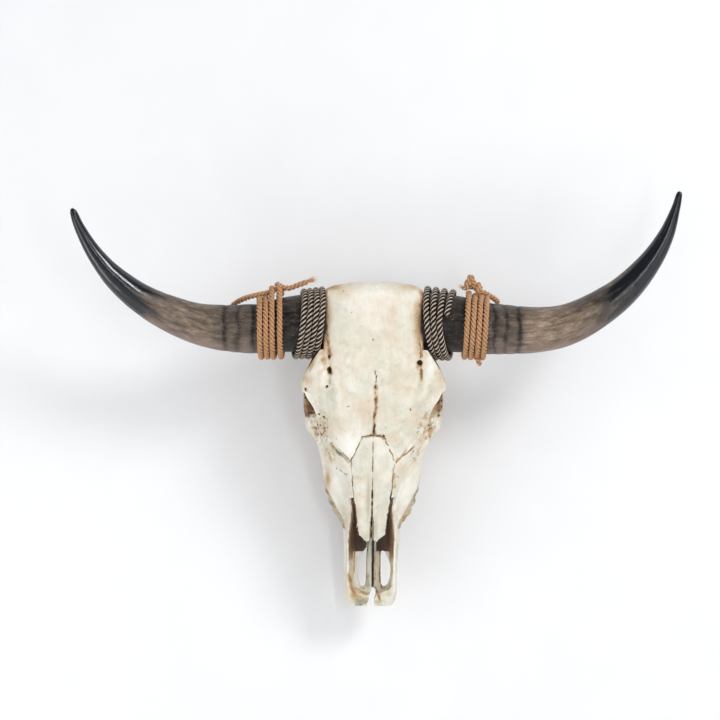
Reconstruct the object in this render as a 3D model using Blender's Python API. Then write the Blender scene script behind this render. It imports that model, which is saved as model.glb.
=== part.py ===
"""A painted cast-resin longhorn skull that hangs on a wall, its horns wound with cord. Metres, +Z up.

It hangs from its pad, whose flat back is the plane y = 0. X points right and Y into the wall, and the
origin is the middle of the pad's back.
"""

import math

import bmesh
import bpy
import numpy as np
from mathutils import Matrix, Vector

# Sizes below are in millimetres, and MM turns them into metres. X points right as one faces the skull,
# Y into the wall and Z up. The wall is the plane y = 0.
MM = 0.001
GAP = 0.3  # between two pieces that touch

# Sections across the skull, as (height, value) keys from the poll down to the muzzle. Each section runs
# from the middle of the front over the edge and the side to the back corner and the middle of the back.
FRONT_Y = [(104, -146), (99, -161), (88, -169), (55, -173), (-5, -174), (-50, -172), (-75, -168),
           (-100, -161), (-134, -153), (-175, -145), (-225, -135), (-245, -130), (-300, -98), (-336, -74)]
EDGE_X = [(104, 26), (99, 52), (90, 65), (58, 69), (30, 69), (18, 74), (4, 80.5), (-33, 96), (-44, 87),
          (-52, 83), (-70, 75), (-100, 66), (-134, 52), (-175, 40), (-222, 32), (-240, 32.5), (-300, 33),
          (-325, 31.5), (-336, 27)]
EDGE_Y = [(104, -140), (99, -152), (88, -158), (25, -161), (0, -158), (-33, -151), (-70, -145),
          (-100, -139), (-134, -131), (-175, -118), (-222, -103), (-300, -82), (-336, -70)]
SIDE_X = [(104, 27), (99, 52), (90, 64), (58, 64), (25, 57), (-5, 62), (-33, 77), (-52, 74), (-70, 76),
          (-100, 72), (-134, 66.5), (-155, 64), (-170, 62), (-188, 54.5), (-205, 46), (-221, 37.8),
          (-236, 35), (-300, 34.6), (-325, 34), (-336, 29)]
SIDE_Y = [(104, -130), (25, -132), (-33, -134), (-70, -118), (-100, -108), (-134, -99), (-175, -88),
          (-222, -80), (-300, -68), (-336, -62)]
BACK_X = [(104, 12), (99, 28), (85, 34), (58, 32), (25, 27), (-20, 25), (-45, 34), (-70, 50), (-100, 56),
          (-134, 56), (-175, 50), (-205, 41), (-222, 35.5), (-300, 33), (-325, 32), (-336, 26)]
BACK_Y = [(104, -118), (99, -80), (88, -50), (58, -44), (25, -44), (-33, -52), (-70, -60), (-134, -59),
          (-175, -57), (-225, -54), (-300, -50), (-336, -52)]

# Outlines seen from the front as (x, z), right half, and outlines seen from the side as (y, z).
NASAL = [(0.0, -99), (14.3, -101), (22, -118), (29, -134), (27, -157), (25, -180), (22.5, -200),
         (20.4, -218), (18.8, -233.5), (6, -243.5), (0.0, -238)]
NASAL_PARTING = [(0.0, -160), (1.0, -205), (2.4, -230), (3, -250), (-3, -250), (-2.4, -230), (-1.0, -205)]
MAXILLA = [(0.0, -134), (29, -134), (42, -121), (53, -110), (73, -86), (84, -76), (110, -76), (110, -222),
           (41, -222), (33, -205), (25, -186), (22.5, -187), (21, -252), (0.0, -252)]
PREMAXILLA = [(0.0, -252), (21, -252), (22.5, -187), (25, -186), (33, -205), (41, -222), (70, -222),
              (70, -350), (0.0, -350)]
ZYGOMATIC = [(74, -112), (67, -102), (65, -90), (67, -78), (72, -66), (76, -58), (76, 18), (120, 18),
             (120, -112)]
NOSE_OPENING = [(-230, -183), (-126, -183), (-121, -200), (-105, -224), (-92, -256), (-82, -300),
                (-76, -322), (-76, -350), (-230, -350)]
SLIT_LEFT = [(-3.9, -251), (-7, -257), (-12.5, -264), (-19, -268.6), (-20, -278), (-19.3, -288), (-18, -298),
             (-14, -310), (-9, -311), (-7, -306), (-6, -288), (-5.5, -268), (-3.4, -257)]
SLIT_RIGHT = [(13.2, -260), (18.9, -262.7), (22.9, -270.6), (26, -280.4), (26.7, -288.3), (25.2, -300),
              (22.4, -308), (17.6, -311), (15.1, -308), (13.9, -296), (12.9, -280.4), (12.9, -268)]
TIP_NOTCH = [(0, -318), (2.7, -311.5), (5.7, -314), (6.8, -320.5), (4.6, -328), (5.5, -345), (-9, -345),
             (-5, -333), (-1.7, -326)]

ORBIT_RIM = [(91, -149, -37), (85, -131, -25), (85, -107, -27), (89, -95, -44), (89, -97, -68),
             (82, -111, -84), (70, -131, -80), (74, -146, -62)]
ORBIT_DEPTHS = (-200, -114)
PALATE_DEPTHS = (-120, -20)
ORBIT_FRONT = [(91.5, -42), (87, -51), (81, -63), (75.5, -73), (79, -77), (115, -77), (115, -42)]
ORBIT_CENTRE = (87, -122, -50)
ORBIT_FACES = (0.85, -0.30, -0.30)
ORBIT_RADII = (42, 24.5, 25)
CHEEK_ARCH = [(80, -97, -82), (84, -93, -56), (83, -87, -24), (72, -80, 2), (64, -73, 28), (54, -70, 50),
              (42, -76, 58)]
CHEEK_CREST = [(84, -98, -76), (83, -97, -89), (71, -97, -106), (64, -93, -130), (61, -88, -152)]
TEETH = [(38, -213), (46, -200), (51.5, -184), (54, -162), (53, -134)]  # the tooth row, as (x, z)
TEETH_PER_SIDE = 6
CROWN_Y = -34
CORE_END = 65.2  # where the skull's horn socket ends and the horn begins, from the middle
NASAL_THICK = 6
NASAL_BACK = (-168.9, -0.211)  # the plane behind the nasal bones, as its depth and its slope with height
SWAY = 0.013  # how far the muzzle leans to the left of the middle, for each unit below the orbits
SWAY_TOP = -60

# Horns, as (x, y, z, radius) keys from the skull to the tip.
HORN_LEFT = [(-65.5, -129, 49, 40.5), (-88, -131, 49, 39), (-111, -133, 47.5, 37),
             (-137, -135, 43.5, 34.8), (-163, -138, 41.5, 33), (-200, -143, 43, 30.6),
             (-236, -149, 49, 27), (-275, -158, 64, 23.2), (-307, -167, 82, 19.4),
             (-332, -176, 102, 16.2), (-350, -184, 121, 13), (-367, -192, 145, 9.8),
             (-381, -200, 172, 6.9), (-387.5, -206, 190, 4.9), (-389.8, -208, 195.5, 1.8)]
HORN_RIGHT = [(65.5, -129, 50, 40.5), (90, -131, 49.5, 39), (116, -133, 47, 37.2), (142, -135, 43, 35.2),
              (168, -137, 41, 33.6), (214, -143, 40, 30.4), (253, -151, 46, 27.6), (291, -161, 64, 24.4),
              (329, -173, 92, 20.2), (360, -186, 128, 15.2), (379, -196, 162, 10.5),
              (389.8, -203, 194, 6.2), (394.2, -206, 213, 4.2), (395.3, -207, 217.5, 1.8)]
HORN_Y, HORN_Z = -131, 49.5  # the axis of both horns where they leave the skull

# Cord wound on the horns: where each winding's first turn starts on the horn's axis, the way its turns
# face, the way that they follow each other along the horn, the horn's radius at the first and the fifth
# turn, how many turns there are, how much further from the others the first one is and how much wider they
# stand on top of the horn. A winding starts behind the horn, and its fall is 1 where it goes over the top
# first.
CORD_RADIUS = 3.9
TURN_GAP = 0.2
CORD_ROOM = 0.8  # round the first turn of a band, where it sinks into the skull
BAND_LEFT = {"start": (-70.1, -129.6, 49.6), "faces": (-1, -0.13, 0.078), "runs": (-1, -0.08, -0.06),
             "radii": (41, 39.2), "turns": 4, "apart": 0, "fan": 0, "fall": 1}
BAND_RIGHT = {"start": (73.8, -129.6, 49.6), "faces": (1, -0.18, 0.09), "runs": (1, -0.08, -0.1),
              "radii": (42, 40.4), "turns": 3.46, "apart": 0, "fan": 0.4, "fall": 1}
JUTE_LEFT = {"start": (-122.2, -133.6, 45.4), "faces": (-1, -0.02, 0.02), "runs": (-1, -0.1, -0.08),
             "radii": (37, 34.6), "turns": 4, "apart": 2.3, "fan": 0, "fall": -1}
JUTE_RIGHT = {"start": (120.2, -133.5, 45.8), "faces": (1, -0.04, -0.02), "runs": (1, -0.1, -0.1),
              "radii": (37.5, 35.5), "turns": 4, "apart": 0, "fan": 0, "fall": -1}
TAIL_LEFT = [(-194, -112, 66), (-184, -122, 76), (-168, -134, 83), (-150, -141, 87), (-136, -144, 90),
             (-124, -145, 96), (-112, -146, 95), (-100, -147, 99), (-84.5, -149, 104.5)]
KNOT_LEFT = (-124.5, -144, 96)
TAIL_RIGHT = [(116.5, -147, 97), (121.5, -147.5, 95), (124.4, -148, 101), (128.6, -148, 110.5),
              (132.8, -147, 101), (137, -144, 93), (149, -138, 88.5), (161, -128, 82), (168, -117, 77)]
KNOT_RIGHT = (129, -143, 92)


def millimetres(*point):
    return Vector(point) * MM


def curve(keys, at):
    """The value at one place of a smooth curve through (place, value) keys, which never overshoots them."""
    places, values = np.array(sorted(keys), float).T
    steps = np.diff(places)
    rises = np.diff(values) / steps
    slopes = np.array([rises[0], *np.zeros(len(rises) - 1), rises[-1]])
    for i in range(1, len(rises)):
        if rises[i - 1] * rises[i] > 0:
            slopes[i] = 2 * rises[i - 1] * rises[i] / (rises[i - 1] + rises[i])
    i = int(np.clip(np.searchsorted(places, at) - 1, 0, len(steps) - 1))
    t = (min(max(at, places[0]), places[-1]) - places[i]) / steps[i]
    ease = t * t * (3 - 2 * t)
    bow = (t * (1 - t) ** 2 * slopes[i] - t * t * (1 - t) * slopes[i + 1]) * steps[i]
    return values[i] + (values[i + 1] - values[i]) * ease + bow


def spline(points, steps, closed=False):
    """A Catmull-Rom curve through points, with this many steps from each one to the next."""
    points = np.array(points, float)
    n = len(points)
    if closed:
        before, after = points[-1:], points[:2]
    else:
        before, after = 2 * points[:1] - points[1:2], 2 * points[-1:] - points[-2:-1]
    guide = np.concatenate([before, points, after])
    found = []
    for i in range(n if closed else n - 1):
        a, b, c, d = guide[i : i + 4]
        for t in np.arange(steps) / steps:
            cubic = (2 * a - 5 * b + 4 * c - d) * t**2 + (3 * b - a - 3 * c + d) * t**3
            found.append(0.5 * (2 * b + (c - a) * t + cubic))
    return np.array(found if closed else [*found, points[-1]])


def loft(bm, rings, capped=True):
    """A skin over rings of equally many points. Where it isn't capped, the last ring joins the first."""
    made = [[bm.verts.new(p) for p in ring] for ring in rings]
    pairs = list(zip(made, made[1:])) + ([] if capped else [(made[-1], made[0])])
    for low, high in pairs:
        for i in range(len(low)):
            bm.faces.new((low[i - 1], low[i], high[i], high[i - 1]))
    if capped:
        bm.faces.new(made[0])
        bm.faces.new(made[-1][::-1])


def bar(bm, path, radii, hint, sides=14, closed=False, steps=6):
    """A bar on a path in mm. Its radii are pairs, (across the hint, along the hint)."""
    path = spline(path, steps, closed)
    radii = spline(radii, steps) if len(radii) > 1 else np.repeat(radii, len(path), axis=0)
    rings = []
    for i, p in enumerate(path):
        after = path[(i + 1) % len(path)] if closed else path[min(i + 1, len(path) - 1)]
        before = path[i - 1] if closed else path[max(i - 1, 0)]
        along = Vector(after - before).normalized()
        across = along.cross(Vector(hint)).normalized()
        up = across.cross(along)
        turns = np.arange(sides) * math.tau / sides
        wide, deep = radii[i]
        offsets = [across * (wide * math.cos(t)) + up * (deep * math.sin(t)) for t in turns]
        rings.append([(Vector(p) + step) * MM for step in offsets])
    loft(bm, rings, capped=not closed)


def ellipsoid(bm, centre, radii, turn=None):
    place = Matrix.LocRotScale(millimetres(*centre), turn, millimetres(*radii))
    bmesh.ops.create_uvsphere(bm, u_segments=24, v_segments=14, radius=1, matrix=place)


def section(z):
    """The half outline of the skull at one height, from the middle of its front to that of its back."""
    front, edge_x, edge_y = curve(FRONT_Y, z), curve(EDGE_X, z), curve(EDGE_Y, z)
    side_x, side_y = curve(SIDE_X, z), curve(SIDE_Y, z)
    back_x, back_y = curve(BACK_X, z), curve(BACK_Y, z)
    brow = (0.66 * edge_x, front + 0.17 * (edge_y - front))
    jowl = (0.5 * (side_x + back_x) + 0.09 * side_x, 0.5 * (side_y + back_y))
    return [(0, front), brow, (edge_x, edge_y), (side_x, side_y), jowl, (back_x, back_y), (0, back_y + 3)]


def ring_at(half, z, steps):
    """The whole ring of a section, from its half outline."""
    whole = half + [(-x, y) for x, y in half[-2:0:-1]]
    return [millimetres(x, y, z) for x, y in spline(whole, steps, closed=True)]


def skull_body(bm):
    heights = sorted({z for z, _ in EDGE_X + FRONT_Y + SIDE_X} | set(range(-330, 100, 8)))
    loft(bm, [ring_at(section(z), z, 5) for z in heights])


def cheek(bm, s):
    """The orbit's walls and rim, the arch behind it and the crest below it, on the side of the sign s."""
    ellipsoid(bm, (s * 60, -114, -50), (34, 35, 36))
    rim = [(s * x, y, z) for x, y, z in ORBIT_RIM]
    bar(bm, rim, [(5.5, 5.5)], (s, 0, 0), sides=10, closed=True)
    arch = [(8, 11), (6, 12), (5.5, 10), (5.5, 8), (6, 8), (9, 10), (10, 14)]
    bar(bm, [(s * x, y, z) for x, y, z in CHEEK_ARCH], arch, (0, 1, 0))
    crest = [(s * x, y, z) for x, y, z in CHEEK_CREST]
    bar(bm, crest, [(8, 14), (8, 15), (7, 14), (6, 12), (5, 8)], (0, 1, 0))
    brow = [(s * 86.5, -147, -34), (s * 82.5, -122, -22), (s * 82, -98, -26)]
    bar(bm, brow, [(6, 8), (4.5, 7), (6, 8)], (0, 0, 1))


def skull_base(bm, s):
    """The back's forms on one side: condyle, jugular process, ear bulla and the plate by the throat."""
    ellipsoid(bm, (s * 20, -40, 80), (12, 15, 18))
    process = [(s * 42, -72, 74), (s * 46, -48, 72), (s * 44, -24, 67), (s * 40, -8, 60)]
    bar(bm, process, [(14, 12), (9, 9), (6, 7), (4, 4)], (0, 0, 1))
    ellipsoid(bm, (s * 34, -42, 42), (11, 16, 15))
    plate = [(s * 22, -62, -16), (s * 22, -42, -38), (s * 24, -38, -62), (s * 28, -54, -88)]
    bar(bm, plate, [(4, 14), (4, 10), (4, 12), (6, 14)], (0, 1, 0))


def horn_core(bm, s):
    core = [(s * 36, -124, 51), (s * 58, -128, 50), (s * (CORE_END + 6), -130, 49.5)]
    bar(bm, core, [(36, 42), (36, 38), (37, 38)], (0, 0, 1), sides=24)


def tooth_row(bm, s):
    """The upper cheek teeth, each a column that stands out of the jaw towards the wall."""
    row = spline([(s * x, 0, z) for x, z in TEETH], 8)
    for i in range(TEETH_PER_SIDE):
        back = i / (TEETH_PER_SIDE - 1)
        x, _, z = row[round(back * (len(row) - 1))]
        wide, tall = 8.5 + 2.5 * min(1.6 * back, 1), 8.0 + back
        radii = [(tall + 1, wide), (tall, wide), (tall - 1, wide - 1)]
        bar(bm, [(x, -80, z), (x, -48, z), (x, CROWN_Y, z)], radii, (1, 0, 0), sides=12)


def skull_solids():
    """All the forms of the skull, still overlapping each other."""
    bm = bmesh.new()
    skull_body(bm)
    for s in (-1, 1):
        cheek(bm, s)
        skull_base(bm, s)
        horn_core(bm, s)
        tooth_row(bm, s)
    return bm


def piece_of(name, bm):
    """An object that holds what was built, with its faces out."""
    bmesh.ops.recalc_face_normals(bm, faces=bm.faces)
    mesh = bpy.data.meshes.new(name)
    bm.to_mesh(mesh)
    bm.free()
    obj = bpy.data.objects.new(name, mesh)
    bpy.context.scene.collection.objects.link(obj)
    return obj


def copy_of(obj, name):
    made = bpy.data.objects.new(name, obj.data.copy())
    bpy.context.scene.collection.objects.link(made)
    return made


def baked(obj):
    """The object with its modifiers' result as its mesh."""
    bpy.context.view_layer.update()
    graph = bpy.context.evaluated_depsgraph_get()
    mesh = bpy.data.meshes.new_from_object(obj.evaluated_get(graph))
    obj.modifiers.clear()
    obj.data = mesh
    return obj


def remeshed(obj, voxel, smoothing):
    remesh = obj.modifiers.new("remesh", "REMESH")
    remesh.mode = "VOXEL"
    remesh.voxel_size = voxel * MM
    smooth = obj.modifiers.new("smooth", "SMOOTH")
    smooth.factor = 0.5
    smooth.iterations = smoothing
    return baked(obj)


def combined(obj, operation, bm):
    """The object cut by, met with or joined to what was built, which is then gone."""
    other = piece_of("cutter", bm)
    boolean = obj.modifiers.new("boolean", "BOOLEAN")
    boolean.solver = SOLVER
    boolean.operation = operation
    boolean.object = other
    baked(obj)
    bpy.data.objects.remove(other)
    return obj


def prism(bm, outline, low, high, seen="front", side=1):
    """A block between two depths, whose outline in mm is seen from the front (x, z) or the side (y, z)."""
    rings = []
    for depth in (low, high):
        points = [(side * a, depth, b) if seen == "front" else (depth, a, b) for a, b in outline]
        rings.append([millimetres(*p) for p in points])
    loft(bm, rings)


def offset(outline, by):
    """The outline with each side moved outwards by this much."""
    points = [Vector(p) for p in outline]
    area = sum(points[i - 1].x * p.y - p.x * points[i - 1].y for i, p in enumerate(points))
    moved = []
    for i, p in enumerate(points):
        before = (p - points[i - 1]).normalized()
        after = (points[(i + 1) % len(points)] - p).normalized()
        out = [Vector((d.y, -d.x)) * math.copysign(1, area) for d in (before, after)]
        corner = out[0] + out[1]
        moved.append(p + corner * (by / max(corner.dot(out[0]), 0.3)))
    return [(p.x, p.y) for p in moved]


def nose_cavity():
    """The hollow of the nose, from a closed end behind the nasal bones to the tip of the muzzle."""
    bm = bmesh.new()
    rings = []
    for z in range(-318, -123, 6):
        front, brow, edge, side, _, _, rear = section(z)
        fit = min(1, 0.45 + (-z - 118) / 50, 0.35 + (z + 326) / 26)
        deep = rear[1] - 11
        roof = [(0, front[1] + NASAL_THICK), (brow[0] - 2, brow[1] + NASAL_THICK + 1)]
        slope = min(max((-z - 205) / 35, 0), 1)
        wall = [(edge[0] - 5 + 1.8 * slope, edge[1] + 4), (side[0] - 5.5 - 4 * slope, side[1])]
        half = [*roof, *wall, (side[0] - 11 - 3 * slope, deep - 3), (0, deep)]
        rings.append(ring_at([(x * fit, deep + (y - deep) * (0.5 + 0.5 * fit)) for x, y in half], z, 4))
    loft(bm, rings)
    return bm


def side_opening():
    """The space in front of the muzzle, over which the nasal bones reach out."""
    bm = bmesh.new()
    prism(bm, NOSE_OPENING, -70, 70, seen="side")
    return bm


def openings():
    """Orbits, the slits of the palate, the great hole of the back and the notch of the muzzle."""
    orbits, fronts, rest = bmesh.new(), bmesh.new(), bmesh.new()
    for s in (-1, 1):
        aim = Vector((s * ORBIT_FACES[0], *ORBIT_FACES[1:])).to_track_quat("X", "Z")
        x, y, z = ORBIT_CENTRE
        ellipsoid(orbits, (s * x, y, z), ORBIT_RADII, aim)
        prism(fronts, [(s * x, z) for x, z in ORBIT_FRONT], *ORBIT_DEPTHS)
    for outline in (SLIT_LEFT, SLIT_RIGHT, TIP_NOTCH):
        prism(rest, outline, *PALATE_DEPTHS)
    ellipsoid(rest, (0, -48, 100), (14, 12, 34))
    return orbits, fronts, rest


def nasal_space():
    """A block round both nasal bones, and the narrow space between their tips."""
    both, between = bmesh.new(), bmesh.new()
    prism(both, [(-40, -92), (40, -92), (40, -250), (-40, -250)], -200, -112)
    prism(between, NASAL_PARTING, -210, -102)
    return both, between


def nasal_block(outline, by, side):
    """The space of one nasal bone, which ends a little way behind the front of the skull."""
    bm = bmesh.new()
    outline = offset(outline, by)
    front = [millimetres(side * x, -220, z) for x, z in outline]
    back = [millimetres(side * x, NASAL_BACK[0] + NASAL_BACK[1] * z + by, z) for x, z in outline]
    loft(bm, [front, back])
    return bm


def suture_block(outline, by, depths, side):
    bm = bmesh.new()
    prism(bm, offset(outline, by), depths[0] - by, depths[1] + by, side=side)
    return bm


def winding(start, faces, runs, radii, turns, apart, fan, fall, steps):
    """The middle line of a cord wound round a horn, from the skull out, with these steps to a turn."""
    axis = Vector(faces).normalized()
    back = Vector((0, 1, 0)) - axis * axis.y
    back.normalize()
    up = back.cross(axis) * math.copysign(1, -axis.x)
    step = Vector(runs).normalized() * (2 * CORD_RADIUS + TURN_GAP)
    points = []
    for i in range(round(turns * steps) + 1):
        turn = i / steps
        radius = radii[0] + (radii[1] - radii[0]) * turn / 4 + GAP + CORD_RADIUS
        radius /= math.cos(math.pi / steps)
        rise = math.sin(math.tau * turn) * fall
        around = back * math.cos(math.tau * turn) + up * rise
        later = min(max((turn - 0.75) / 0.5, 0), 1)
        along = step * turn * (1 + fan * max(rise, 0)) + step.normalized() * apart * (later - 1)
        points.append(Vector(start) + along + around * radius)
    return points


def cord_room(where, steps):
    """The space that a winding's first turn takes beside the skull."""
    bm = bmesh.new()
    room = CORD_RADIUS + CORD_ROOM
    first = [tuple(p) for p in winding(**where, steps=steps)[: steps + 1]]
    bar(bm, first, [(room, room)], (1, 0, 0), sides=8, steps=1)
    return bm
HORN_SIDES = 14
HORN_CLEARANCE = 50.5  # round the cord at a horn's base
ROOM_SIDES, ROOM_LONG = 24, 80  # the cylinder that cuts that clearance
TURN_POINTS = 14
CORD_SIDES = 6
KNOT_RADII = (8, 8, 9)

# The pad that meets the wall, and the socket in it for a nail.
PAD_MIDDLE_Z = 36
PAD_SIDE = 46
PAD_DEEP = 47
PAD_BEVEL = 2
SEAT_ROOM = 2  # round the pad where it meets the skull
SOCKET_RADIUS = 5
SOCKET_SIDES = 16
SOCKET_DEEP = 16
SOCKET_RISE = 13  # above the middle of the pad

SOLVER = "EXACT"
VOXEL = 2.5
SKULL_TRIANGLES = 2750
NASAL_TRIANGLES = 420
FLAT_ANGLE = math.radians(4)
MERGE = 0.05
SHARP_ANGLE = math.radians(40)

BONE = ("bone_resin", (0.80, 0.74, 0.62), 0.55)
HORN = ("horn_resin", (0.13, 0.11, 0.10), 0.25)
DARK_CORD = ("striped_cord", (0.30, 0.24, 0.18), 0.8)
JUTE = ("jute_cord", (0.58, 0.36, 0.21), 0.9)


def material(name, colour, roughness):
    found = bpy.data.materials.get(name)
    if found:
        return found
    made = bpy.data.materials.new(name)
    made.use_nodes = True
    shader = made.node_tree.nodes["Principled BSDF"]
    shader.inputs["Base Color"].default_value = (*colour, 1)
    shader.inputs["Roughness"].default_value = roughness
    shader.inputs["Metallic"].default_value = 0
    return made


def lighter(obj, triangles):
    decimate = obj.modifiers.new("decimate", "DECIMATE")
    decimate.ratio = triangles / sum(len(p.vertices) - 2 for p in obj.data.polygons)
    return baked(obj)


def tidied(obj):
    """Leaves only the biggest connected part of a mesh, and merges the faces that lie in one plane."""
    bm = bmesh.new()
    bm.from_mesh(obj.data)
    left = set(bm.verts)
    islands = []
    while left:
        found, edge = set(), [left.pop()]
        while edge:
            vert = edge.pop()
            found.add(vert)
            near = {e.other_vert(vert) for e in vert.link_edges} & left
            left -= near
            edge.extend(near)
        islands.append(found)
    islands.sort(key=len)
    bmesh.ops.delete(bm, geom=[v for island in islands[:-1] for v in island], context="VERTS")
    bmesh.ops.remove_doubles(bm, verts=bm.verts, dist=MERGE * MM)
    bmesh.ops.dissolve_limit(bm, angle_limit=FLAT_ANGLE, verts=bm.verts, edges=bm.edges)
    bmesh.ops.triangulate(bm, faces=bm.faces)
    bm.to_mesh(obj.data)
    bm.free()


def skull():
    """The skull's shell without the overhang of its nasal bones, and a block of its front round them."""
    whole = remeshed(piece_of("skull", skull_solids()), VOXEL, smoothing=6)
    nose = copy_of(whole, "nose")
    both, between = nasal_space()
    combined(nose, "INTERSECT", both)
    for cutter in (nose_cavity(), between):
        combined(nose, "DIFFERENCE", cutter)
    lighter(remeshed(nose, VOXEL, smoothing=1), NASAL_TRIANGLES)
    for cutter in (side_opening(), nose_cavity(), *openings()):
        combined(whole, "DIFFERENCE", cutter)
    lighter(remeshed(whole, VOXEL, smoothing=1), SKULL_TRIANGLES)
    return whole, nose


def mirrored_copy(obj, name):
    """The same piece for the left side."""
    bm = bmesh.new()
    bm.from_mesh(obj.data)
    bmesh.ops.scale(bm, vec=(-1, 1, 1), verts=bm.verts)
    return piece_of(name, bm)


def part_skull():
    """Parts the skull along its sutures, leaving a thin gap at each."""
    whole, nose = skull()
    half = GAP / 2
    sides = {"left": -1, "right": 1}
    combined(nose, "INTERSECT", nasal_block(NASAL, -half, 1))
    nose.name = "nasal_right"
    pieces = [nose, mirrored_copy(nose, "nasal_left")]
    for side in sides.values():
        combined(whole, "DIFFERENCE", nasal_block(NASAL, half, side))
    for name, outline, depths in (
        ("zygomatic", ZYGOMATIC, (-113, -20)),
        ("premaxilla", PREMAXILLA, (-220, 20)),
        ("maxilla", MAXILLA, (-220, 20)),
    ):
        for word, side in sides.items():
            piece = copy_of(whole, f"{name}_{word}")
            pieces.append(combined(piece, "INTERSECT", suture_block(outline, -half, depths, side)))
        for side in sides.values():
            combined(whole, "DIFFERENCE", suture_block(outline, half, depths, side))
    seat = bmesh.new()
    prism(seat, square(PAD_SIDE / 2 + SEAT_ROOM, PAD_MIDDLE_Z), -PAD_DEEP - GAP, 20)
    combined(whole, "DIFFERENCE", seat)
    for side, band in ((-1, BAND_LEFT), (1, BAND_RIGHT)):
        combined(whole, "DIFFERENCE", horn_room(side))
        combined(whole, "DIFFERENCE", cord_room(band, TURN_POINTS))
    whole.name = "cranium"
    return [*pieces, whole]


def horn_room(side):
    """The space of the horn's base and of the cord round it, just outside the skull."""
    room = bmesh.new()
    turns = np.arange(ROOM_SIDES) * math.tau / ROOM_SIDES
    circle = HORN_CLEARANCE * np.stack([np.cos(turns), np.sin(turns)], axis=1) + (HORN_Y, HORN_Z)
    ends = (CORE_END, CORE_END + ROOM_LONG)
    loft(room, [[millimetres(side * x, y, z) for y, z in circle] for x in ends])
    return room


def square(half, z):
    return [(-half, z - half), (half, z - half), (half, z + half), (-half, z + half)]


def horn(name, keys):
    bm = bmesh.new()
    places = spline(keys, 2)
    rings = []
    for i, (*p, radius) in enumerate(places):
        along = Vector((places[min(i + 1, len(places) - 1)] - places[max(i - 1, 0)])[:3]).normalized()
        if i == 0:
            along = Vector((math.copysign(1, p[0]), 0, 0))
        across = along.cross(Vector((0, 1, 0))).normalized()
        up = across.cross(along)
        turns = np.arange(HORN_SIDES) * math.tau / HORN_SIDES
        offsets = [(across * math.cos(t) + up * math.sin(t)) * radius for t in turns]
        rings.append([(Vector(p) + step) * MM for step in offsets])
    loft(bm, rings)
    return piece_of(name, bm)


def cord(name, points):
    """A round bar of cord along points in mm, as a curve."""
    data = bpy.data.curves.new(name, "CURVE")
    data.dimensions = "3D"
    data.bevel_depth = CORD_RADIUS * MM
    data.bevel_resolution = 1
    data.use_fill_caps = True
    line = data.splines.new("POLY")
    line.points.add(len(points) - 1)
    for slot, p in zip(line.points, points):
        slot.co = (*(Vector(p) * MM), 1)
    obj = bpy.data.objects.new(name, data)
    bpy.context.scene.collection.objects.link(obj)
    return obj


def tied_cord(name, where, tail, knot):
    """A wound cord with its knot on top and its loose length, as one piece."""
    wound = cord(name, winding(**where, steps=TURN_POINTS))
    mesh = bpy.data.meshes.new_from_object(wound)
    bpy.data.objects.remove(wound)
    wound = bpy.data.objects.new(name, mesh)
    bpy.context.scene.collection.objects.link(wound)
    bm = bmesh.new()
    bar(bm, tail, [(CORD_RADIUS, CORD_RADIUS)], (0, 0, 1), sides=CORD_SIDES, steps=2)
    combined(wound, "UNION", bm)
    bm = bmesh.new()
    place = Matrix.LocRotScale(millimetres(*knot), None, millimetres(*KNOT_RADII))
    bmesh.ops.create_icosphere(bm, subdivisions=2, radius=1, matrix=place)
    return combined(wound, "UNION", bm)


def wall_pad():
    bm = bmesh.new()
    prism(bm, square(PAD_SIDE / 2, PAD_MIDDLE_Z), -PAD_DEEP, 0)
    pad = piece_of("wall_pad", bm)
    bevel = pad.modifiers.new("bevel", "BEVEL")
    bevel.width = PAD_BEVEL * MM
    baked(pad)
    bm = bmesh.new()
    turns = np.arange(SOCKET_SIDES) * math.tau / SOCKET_SIDES
    middle = PAD_MIDDLE_Z + SOCKET_RISE
    hole = [(math.cos(t) * SOCKET_RADIUS, middle + math.sin(t) * SOCKET_RADIUS) for t in turns]
    prism(bm, hole, -SOCKET_DEEP, 5)
    return combined(pad, "DIFFERENCE", bm)


def finished(obj, look, hanger):
    """Gives a piece its material and smooth shading, and hangs it from the pad's middle."""
    if obj.type == "MESH":
        obj.data.shade_smooth()
        obj.data.set_sharp_from_angle(angle=SHARP_ANGLE)
    obj.data.materials.clear()
    obj.data.materials.append(material(*look))
    obj.parent = hanger


def main():
    for obj in list(bpy.data.objects):
        bpy.data.objects.remove(obj)
    hanger = bpy.data.objects.new("hanger", None)
    hanger.location = millimetres(0, 0, -PAD_MIDDLE_Z)
    bpy.context.scene.collection.objects.link(hanger)
    for piece in part_skull():
        tidied(piece)
        swayed(piece)
        finished(piece, BONE, hanger)
    for side, keys, band, jute, tail, knot in (
        ("left", HORN_LEFT, BAND_LEFT, JUTE_LEFT, TAIL_LEFT, KNOT_LEFT),
        ("right", HORN_RIGHT, BAND_RIGHT, JUTE_RIGHT, TAIL_RIGHT, KNOT_RIGHT),
    ):
        finished(horn(f"horn_{side}", keys), HORN, hanger)
        finished(cord(f"cord_band_{side}", winding(**band, steps=TURN_POINTS)), DARK_CORD, hanger)
        finished(tied_cord(f"jute_wrap_{side}", jute, tail, knot), JUTE, hanger)
    finished(wall_pad(), BONE, hanger)


def swayed(obj):
    """The piece with its part below the orbits leaning a little to one side, as the casting does."""
    for vert in obj.data.vertices:
        vert.co.x += SWAY * min(0, vert.co.z - SWAY_TOP * MM)


main()
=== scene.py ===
"""The looks of a cast-resin longhorn skull that hangs on a wall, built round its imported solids."""

import math
import random
from itertools import product

import bmesh
import bpy
import numpy as np
from mathutils import Matrix, Vector
from mathutils.kdtree import KDTree


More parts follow.
